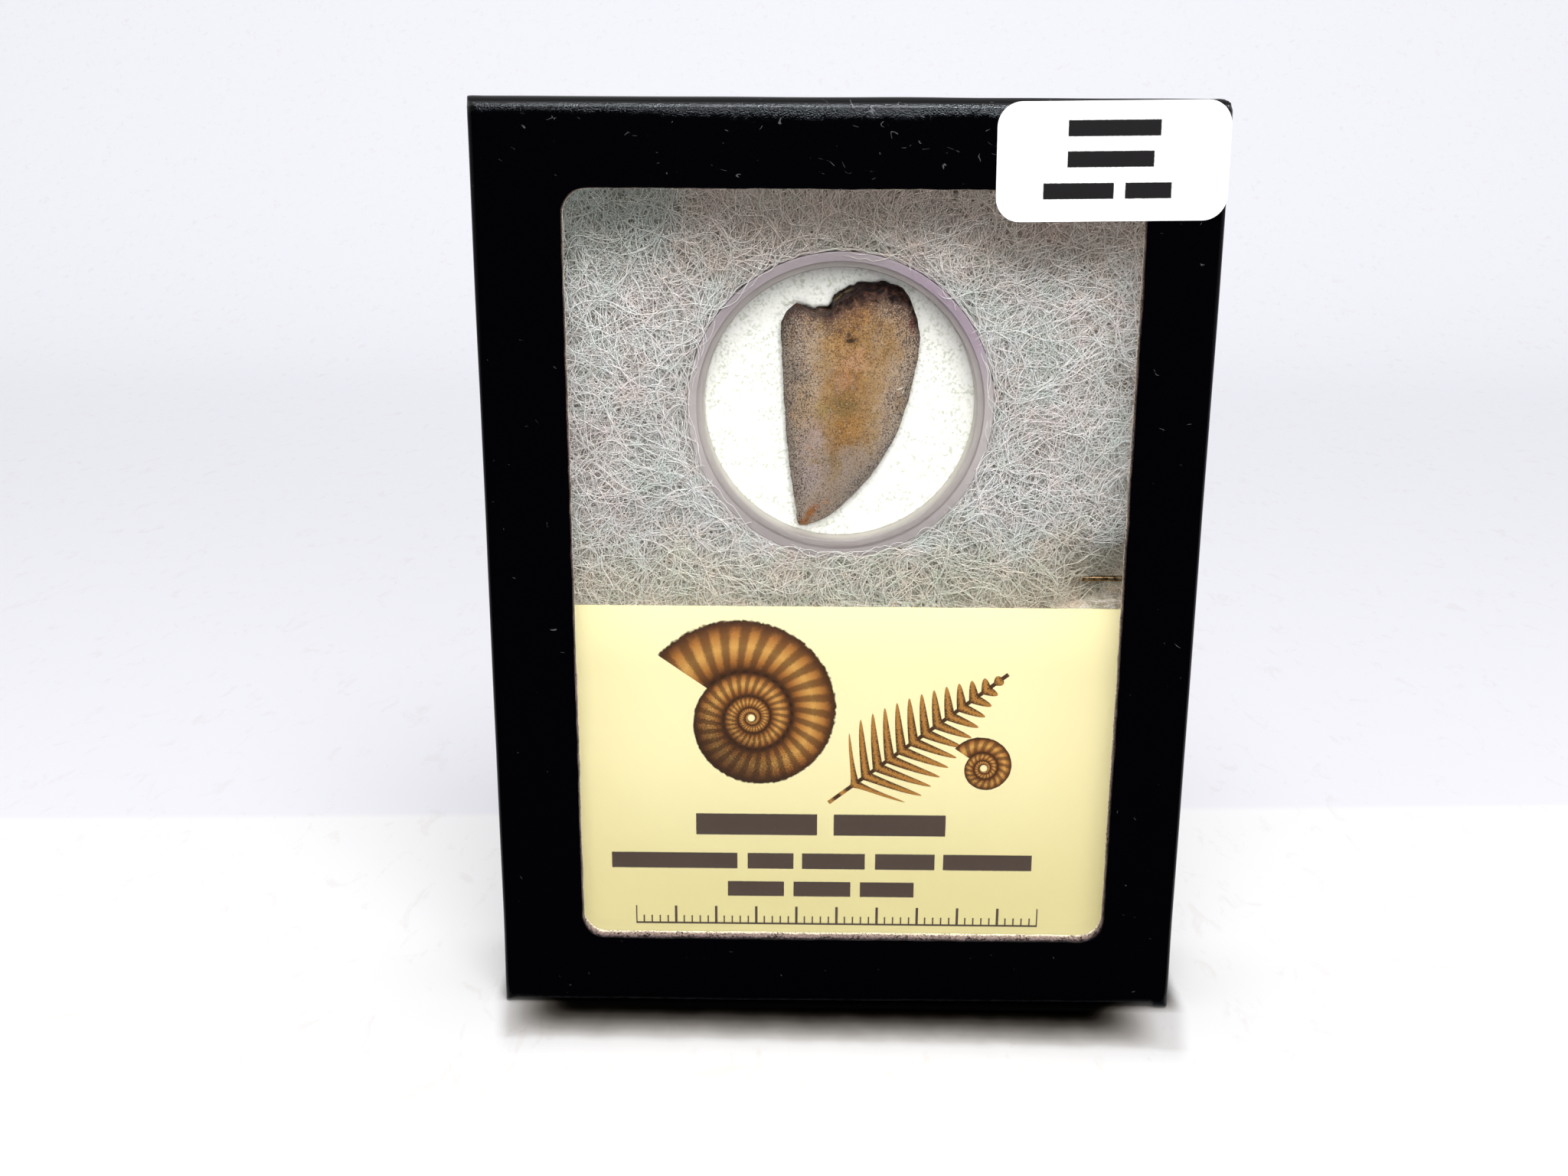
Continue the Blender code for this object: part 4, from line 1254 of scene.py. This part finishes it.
def make_tooth():
    """A blade-like crown, serrated along its edges and broken off at the base."""
    side_points, tip_rows, rows, end_rows = 96, 4, 330, 12
    total = tip_rows + rows + end_rows
    put_down()
    bpy.ops.mesh.primitive_grid_add(
        x_subdivisions=2 * side_points, y_subdivisions=total, size=1, location=(0, 0, 0)
    )
    tooth = fresh("raptor_tooth")
    u, v, _ = read_points(tooth).T + 0.5
    row = np.rint(v * total)
    front = u <= 0.5
    half_u = np.where(front, u * 2, 2 - u * 2)
    share = (1 - np.cos(math.pi * half_u)) / 2
    climb = np.clip((row - tip_rows) / rows, 0, 1)
    closing_tip = np.clip(row / tip_rows, 0, 1)
    closing_top = 1 - np.clip((row - tip_rows - rows) / end_rows, 0, 1)

    def half_thickness(height, front_side):
        fullness = 1 - np.exp(-height / TAPER)
        lens = np.maximum(1 - np.abs(2 * share - 1) ** 2.1, 0) ** 0.82
        swell = np.where(front_side, FRONT_SWELL, BACK_SWELL)
        return EDGE_HALF + swell * fullness * lens

    top = np.full(len(u), 26.0)
    side = np.where(front, -1.0, 1.0)
    for _ in range(12):
        left, right = across_at(LEFT_EDGE, top), across_at(RIGHT_EDGE, top)
        x = left + (right - left) * share
        slope = BREAK_SLOPE * side * half_thickness(top, front) * closing_top
        goal = np.interp(x, *zip(*BREAK_LINE)) + slope
        top = top + 0.6 * (goal - top)
    ragged_x = np.stack([x, np.zeros_like(x), np.zeros_like(x)], axis=1)
    ragged = 0.10 * lumps(ragged_x, 0.45, 21) + 0.10 * lumps(ragged_x, 1.3, 22)
    top = top + ragged * ease(share, 0.01, 0.05)
    height = top * climb ** 1.12
    left, right = across_at(LEFT_EDGE, height), across_at(RIGHT_EDGE, height)
    x = left + (right - left) * share
    half = half_thickness(height, front)
    where = np.stack([x, side * half, height], axis=1)

    below = top - height
    band_line = np.interp(
        x, (-5, 2.2, 2.8, 4.0, 5.2, 7.0, 9.5, 11.2, 12.2, 13.0, 15.0),
        (40, 40, 25.2, 25.5, 25.9, 26.4, 26.6, 25.9, 24.9, 23.8, 22.6)
    )
    over = height - band_line - 0.25 + 0.6 * lumps(where, 0.9, 23) + 0.45 * lumps(where, 0.3, 32)
    band = ease(over, -0.5, 0.6) * np.where(front, 1.0, 0.0)
    lobe = ease(x, 1.6, 3.4)
    edge_band = ease(0.10 - below + 0.06 * lumps(where, 0.5, 33), 0, 0.1)
    edge_band = np.maximum(edge_band, 1 - closing_top ** 8)
    band = np.maximum(band, edge_band * (0.45 + 0.25 * lumps(where, 0.8, 36) + 0.55 * lobe))
    scorch = np.exp(-np.maximum(below, 0) / (1.1 + 1.4 * lobe)) * (0.72 + 0.46 * lobe)
    chips = 0.07 * lumps(where, 0.55, 24) + 0.05 * lumps(where, 0.24, 25)
    recess = band * (0.09 + 0.22 * lobe * np.clip(over / 1.2, 0, 1) + chips)
    recess = recess * ease(half, EDGE_HALF, EDGE_HALF + 0.7) * np.where(front, 1.0, 0.0)

    pit_x, pit_z = 5.3, 22.0
    pit = 0.6 - np.hypot((x - pit_x) * 0.9, height - pit_z) + 0.18 * lumps(where, 0.4, 34)
    pit = ease(pit, 0.0, 0.4)
    recess = recess + 0.13 * pit * np.where(front, 1.0, 0.0)
    wavy = 0.035 * lumps(where, 2.6, 26) + 0.014 * lumps(where, 0.5, 27)
    half = half - recess + wavy * ease(half, EDGE_HALF, EDGE_HALF + 0.5)
    half = np.maximum(half, 0.05)

    spacing = 0.36
    tooth_edge = np.clip(np.sin(math.tau * height / spacing), -0.4, 1) * 0.045
    fade = ease(height, 0.8, 2.0) * ease(24.2 - height, 0, 1.5)
    near_left = np.exp(-(x - left) / 0.16)
    near_right = np.exp(-(right - x) / 0.16)
    worn = 0.6 + 0.5 * lumps(where * [0, 0, 1], 2.1, 28)
    x = x + tooth_edge * fade * worn * (near_right - near_left)
    nick = 0.07 * lumps(where * [0, 0, 1], 1.1, 29) + 0.04 * lumps(where * [0, 0, 1], 0.4, 35)
    x = x + nick * (near_right - near_left) * fade

    half = half * closing_tip
    half = half * closing_top
    broken = np.stack([x, side * half * 2, height * 0], axis=1)
    relief = 0.16 * lumps(broken, 0.7, 30) + 0.10 * lumps(broken, 0.28, 31)
    relief = relief * (1 - closing_top) * closing_tip
    height = height + relief * ease(share, 0.02, 0.1) * ease(1 - share, 0.02, 0.1)
    height = height + 0.38 * np.exp(-height / 0.9) - 0.10 * (1 - closing_tip)
    height = np.maximum(height, 0.0)
    bump = np.exp(-((x + 1.0) / 0.28) ** 2) * np.exp(-(below / 0.5) ** 2)
    half = half + 0.1 * bump * closing_top

    tip = np.array([TIP_X, at_depth(TOOTH_DEPTH), TIP_Z])
    write_points(tooth, tip + np.stack([x, side * half, height], axis=1) * MM)
    for name, values in (("share", share), ("height", height), ("band", band), ("scorch", scorch)):
        give(tooth, name, values)
    tidy_skin(tooth, 2e-6)
    smooth(tooth, 60)
    coat(tooth, tooth_enamel())
    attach(tooth, "root")
    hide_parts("tooth")
    return tooth


# Foam

def make_foam(tooth):
    """The round foam pad, with pores and the hollow that the tooth presses into it."""
    back = FOAM_BACK - FRONT
    foam = turned("foam_bed", (
        (0.0, FOAM_FRONT),
        (FOAM_RADIUS - 0.2 * MM, FOAM_FRONT + 0.2 * MM, 0.2 * MM, -90, 0, 5),
        (FOAM_RADIUS - 0.3 * MM, back - 0.3 * MM, 0.3 * MM, 0, 90, 3),
        (0.0, back),
    ), JAR_CENTRE, (0, 1, 0), 72)
    worked(foam, "REMESH", mode="VOXEL", voxel_size=0.2 * MM)
    points = read_points(foam)
    depth = points[:, 1] - FRONT
    facing = ease(FOAM_FRONT + 1.2 * MM - depth, 0, 1.0 * MM)
    pits = np.minimum(0.035 * lumps(points, 0.6 * MM, 41), 0.0)
    pits = pits + 0.04 * lumps(points, 2.5 * MM, 42)
    points[:, 1] -= pits * facing * MM
    crown = BVHTree.FromObject(tooth, bpy.context.evaluated_depsgraph_get())
    reach = 0.9 * MM
    for index in np.nonzero(facing > 0.05)[0]:
        x, y, z = points[index]
        hit = crown.ray_cast(Vector((x, at_depth(13 * MM), z)), Vector((0, -1, 0)), 13 * MM)
        if hit[0] is not None:
            points[index, 1] = max(y, hit[0].y + 0.06 * MM)
        else:
            near = crown.find_nearest(Vector((x, y, z)), reach)
            if near[0] is not None:
                dent = 0.45 * (1 - near[3] / reach) ** 2
                points[index, 1] = y + dent * MM
    points[:, 1] = np.minimum(points[:, 1], FOAM_BACK)
    write_points(foam, points)
    smooth(foam, 180)
    coat(foam, foam_white())
    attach(foam, "root")
    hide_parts("foam_pad")
    return foam


# Card, label and pins

def make_card():
    """The printed card, between the glass and the batting."""
    card = block("printed_card", CARD_LOW, CARD_HIGH)
    open_mesh(card, "EDGE")
    choose_all()
    bevel(0.06 * MM, 2)
    close_mesh()
    score(card, 0, np.arange(-36, 36.1, 6) * MM)
    score(card, 2, np.arange(8, 48, 5) * MM)
    smooth(card, 40)
    coat(card, card_print())
    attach(card, "root")
    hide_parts("info_card")


def make_label():
    """The white sticker over the lid's corner, pressed down and rounded at its corners."""
    width, height, corner = 24.9 * MM, 12.5 * MM, 2.6 * MM
    thick = 0.16 * MM
    front = FRONT - 0.02 * MM - thick
    sticker = block(
        "corner_sticker", (-width / 2, front, -height / 2), (width / 2, front + thick, height / 2)
    )
    open_mesh(sticker, "EDGE")
    choose(sticker, "edges", runs_back(thick / 2))
    bevel(corner, 10)
    choose(sticker, "edges", in_front_of(front + thick / 2))
    bevel(0.04 * MM, 2)
    close_mesh()
    score(sticker, 0, np.arange(-11, 11.1, 2) * MM)
    score(sticker, 2, np.arange(-5, 5.1, 2) * MM)
    sticker.matrix_world = Matrix.Translation(LABEL_CENTRE) @ Matrix.Rotation(LABEL_TILT, 4, "Y")
    settle(sticker)
    points = read_points(sticker)
    lift = np.maximum(0.05 * lumps(points, 9 * MM, 51), 0)
    lift = lift + 0.06 * ease(points[:, 0], 36 * MM, 41 * MM)
    points[:, 1] -= lift * MM
    write_points(sticker, points)
    smooth(sticker, 40)
    coat(sticker, label_paper())
    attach(sticker, "root")
    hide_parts("corner_label")
    return sticker


def make_pins():
    """Straight pins pushed through both walls, each with a flat head outside."""
    metal = pin_metal()
    wall = LID_HIGH.x + 0.02 * MM
    point, radius, head = wall - 17 * MM, 0.35 * MM, 0.9 * MM
    profile = (
        (0.0, point), (0.08 * MM, point + 0.1 * MM), (radius, point + 2.0 * MM),
        (radius, wall - 0.05 * MM), (radius + 0.1 * MM, wall), (head - 0.08 * MM, wall),
        (head - 0.1 * MM, wall + 0.15 * MM, 0.1 * MM, -60, 0, 2),
        (head - 0.15 * MM, wall + 0.28 * MM, 0.15 * MM, 0, 90, 3),
        (0.0, wall + 0.45 * MM),
    )
    for side, node, name in ((-1, "pin_left", "left_pin"), (1, "pin_right", "right_pin")):
        pin = turned(name, profile, (0, at_depth(PIN_DEPTH), PIN_HEIGHT), (side, 0, 0), 24)
        smooth(pin, 40)
        coat(pin, metal)
        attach(pin, "root")
        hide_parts(node)


# Studio

def make_stage(lid, label):
    """A pale sheet that the case stands on, lavender behind it, and soft lamps."""
    put_down()
    bpy.ops.mesh.primitive_grid_add(
        x_subdivisions=2, y_subdivisions=48, size=1, location=(0, 0, 0)
    )
    sheet = fresh("studio_sheet")
    points = read_points(sheet)
    run = (points[:, 1] + 0.5) * 2.2
    flat, bend = 1.1, 0.5
    turn = np.clip((run - flat) / bend, 0, math.pi / 2)
    y = np.where(run < flat, run, flat + bend * np.sin(turn)) - 0.5
    z = bend * (1 - np.cos(turn)) + np.maximum(run - flat - bend * math.pi / 2, 0)
    points = np.stack([points[:, 0] * 4.0, y, z - 0.0001], axis=1)
    write_points(sheet, points)
    smooth(sheet, 60)
    f = Finish("studio_paper", roughness=0.85, specular_ior_level=0.1)
    x, y_place, _ = f.axes()
    line = y_place - x * 0.045
    beyond = f.span(line, 0.0505, 0.0535)
    far = f.blend(f.span(y_place, 0.05, 0.95), tone(228, 228, 233), tone(250, 250, 255))
    pale = f.blend(beyond, tone(236, 236, 236), far)
    smear = f.span(f.grain(4 * MM, 5, 0.7, f.moved(size=(1, 2.5, 1)), 1.0), 0.56, 0.68)
    pale = f.blend(smear * 0.12, pale, tone(196, 180, 160))
    # the case's own shadow on the sheet, by the distance out from its foot
    out = x * -1.3 + (y_place * (-1 / (12 * MM)) - 0.778)
    out = out + (f.grain(6 * MM, 2) - 0.5) * 0.1
    away = f.sum("MAXIMUM", out, 0.0)
    aside = f.span(abs(x + 1.0 * MM), 30 * MM, 41 * MM)
    aside = f.sum("POWER", aside, away * 3.0 + 1.0)
    lighter = (0.66 - away) * aside + out
    out = f.sum("MAXIMUM", out, lighter)
    contact = f.ladder(out, (
        (0.04, (0.0, 0.0, 0.0, 1)), (0.10, (0.003, 0.002, 0.001, 1)),
        (0.158, (0.0135, 0.0115, 0.009, 1)), (0.273, (0.077, 0.070, 0.061, 1)),
        (0.388, (0.202, 0.190, 0.174, 1)), (0.503, (0.37, 0.352, 0.335, 1)),
        (0.618, (0.615, 0.60, 0.585, 1)), (0.675, (0.80, 0.79, 0.79, 1)),
        (0.733, (0.90, 0.895, 0.90, 1)), (0.85, (0.95, 0.945, 0.955, 1)), (1.0, (1, 1, 1, 1)),
    ))
    side = away * (2.5 * MM) + abs(x - 0.4 * MM)
    under = f.span(side, 43.5 * MM, 41 * MM)
    under = under * f.sum("LESS_THAN", y_place, 9.5 * MM)
    shaded = f.blend(1.0, pale, contact, "MULTIPLY")
    f.set("Base Color", f.blend(under, pale, shaded))
    coat(sheet, f.material)

    put_down()
    bpy.ops.mesh.primitive_plane_add(size=1, location=(0, -0.1549, 0.0005))
    flag = fresh("studio_flag")
    flag.scale = (1.6, 0.2902, 1)
    settle(flag)
    open_mesh(flag, "EDGE")
    choose(flag, "edges", in_front_of(-0.29))
    pull(0, -0.02, 0.19)
    close_mesh()
    f = Finish("flag_cloth", base_color=tone(12, 12, 12), roughness=1.0, specular_ior_level=0.0)
    coat(flag, f.material)
    flag.visible_camera = flag.visible_diffuse = flag.visible_shadow = False

    world = bpy.data.worlds.new("studio_air")
    bpy.context.scene.world = world
    world.use_nodes = True
    air = world.node_tree.nodes["Background"]
    air.inputs["Color"].default_value = (0.98, 0.98, 1.0, 1.0)
    air.inputs["Strength"].default_value = 0.8

    def lamp(name, place, aim, size, power, colour, mirrored=True):
        data = bpy.data.lights.new(name, "AREA")
        data.shape = "RECTANGLE"
        data.size, data.size_y = size
        data.energy = power
        data.color = colour
        light = bpy.data.objects.new(name, data)
        light.location = place
        light.visible_glossy = mirrored
        light.rotation_euler = (Vector(aim) - Vector(place)).to_track_quat("-Z", "Y").to_euler()
        bpy.context.scene.collection.objects.link(light)
        return light

    warm, cool = (1.0, 0.99, 0.98), (0.84, 0.92, 1.0)
    lamp("overhead", (0.05, -0.42, 0.66), (0, 0, 0.05), (0.5, 0.3), 3.4, warm, mirrored=False)
    box = lamp("front_box", (0.1, -0.9, 0.36), (0, 0, 0.06), (0.8, 0.16), 2.6, warm, mirrored=False)
    let_past = bpy.data.collections.new("lets_front_box_past")
    let_past.objects.link(lid)
    let_past.objects.link(label)
    box.light_linking.blocker_collection = let_past
    for member in let_past.collection_objects:
        member.light_linking.link_state = "EXCLUDE"
    strip = lamp("edge_strip", (0.12, -0.62, 0.36), (0, 0, 0.10), (0.4, 0.05), 4.6, cool)
    lit = bpy.data.collections.new("strip_lit")
    lit.objects.link(lid)
    strip.light_linking.receiver_collection = lit


def make_camera():
    """The photograph's view: a little above the case, looking down at it."""
    lens = bpy.data.cameras.new("photo_camera")
    lens.lens = LENS_LENGTH
    lens.sensor_width = 36.0
    lens.sensor_fit = "HORIZONTAL"
    lens.clip_start = 0.01
    lens.clip_end = 20.0
    camera = bpy.data.objects.new("photo_camera", lens)
    bpy.context.scene.collection.objects.link(camera)
    stand = Matrix.Translation(CAMERA_PLACE)
    for degrees, axis in ((CAMERA_YAW, "Z"), (90 - CAMERA_PITCH, "X"), (CAMERA_ROLL, "Z")):
        stand = stand @ Matrix.Rotation(math.radians(degrees), 4, axis)
    camera.matrix_world = stand
    bpy.context.scene.camera = camera
    bpy.context.scene.view_settings.view_transform = "Standard"
    bpy.context.scene.view_settings.look = "None"


# Making

make_camera()
lid_piece = make_lid()
coat(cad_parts["glass_pane"], pane_glass())
make_tray()
make_batting_bed()
make_batting_fibres()
make_jar()
raptor_tooth = make_tooth()
make_foam(raptor_tooth)
make_card()
make_pins()
make_stage(lid_piece, make_label())
put_down()
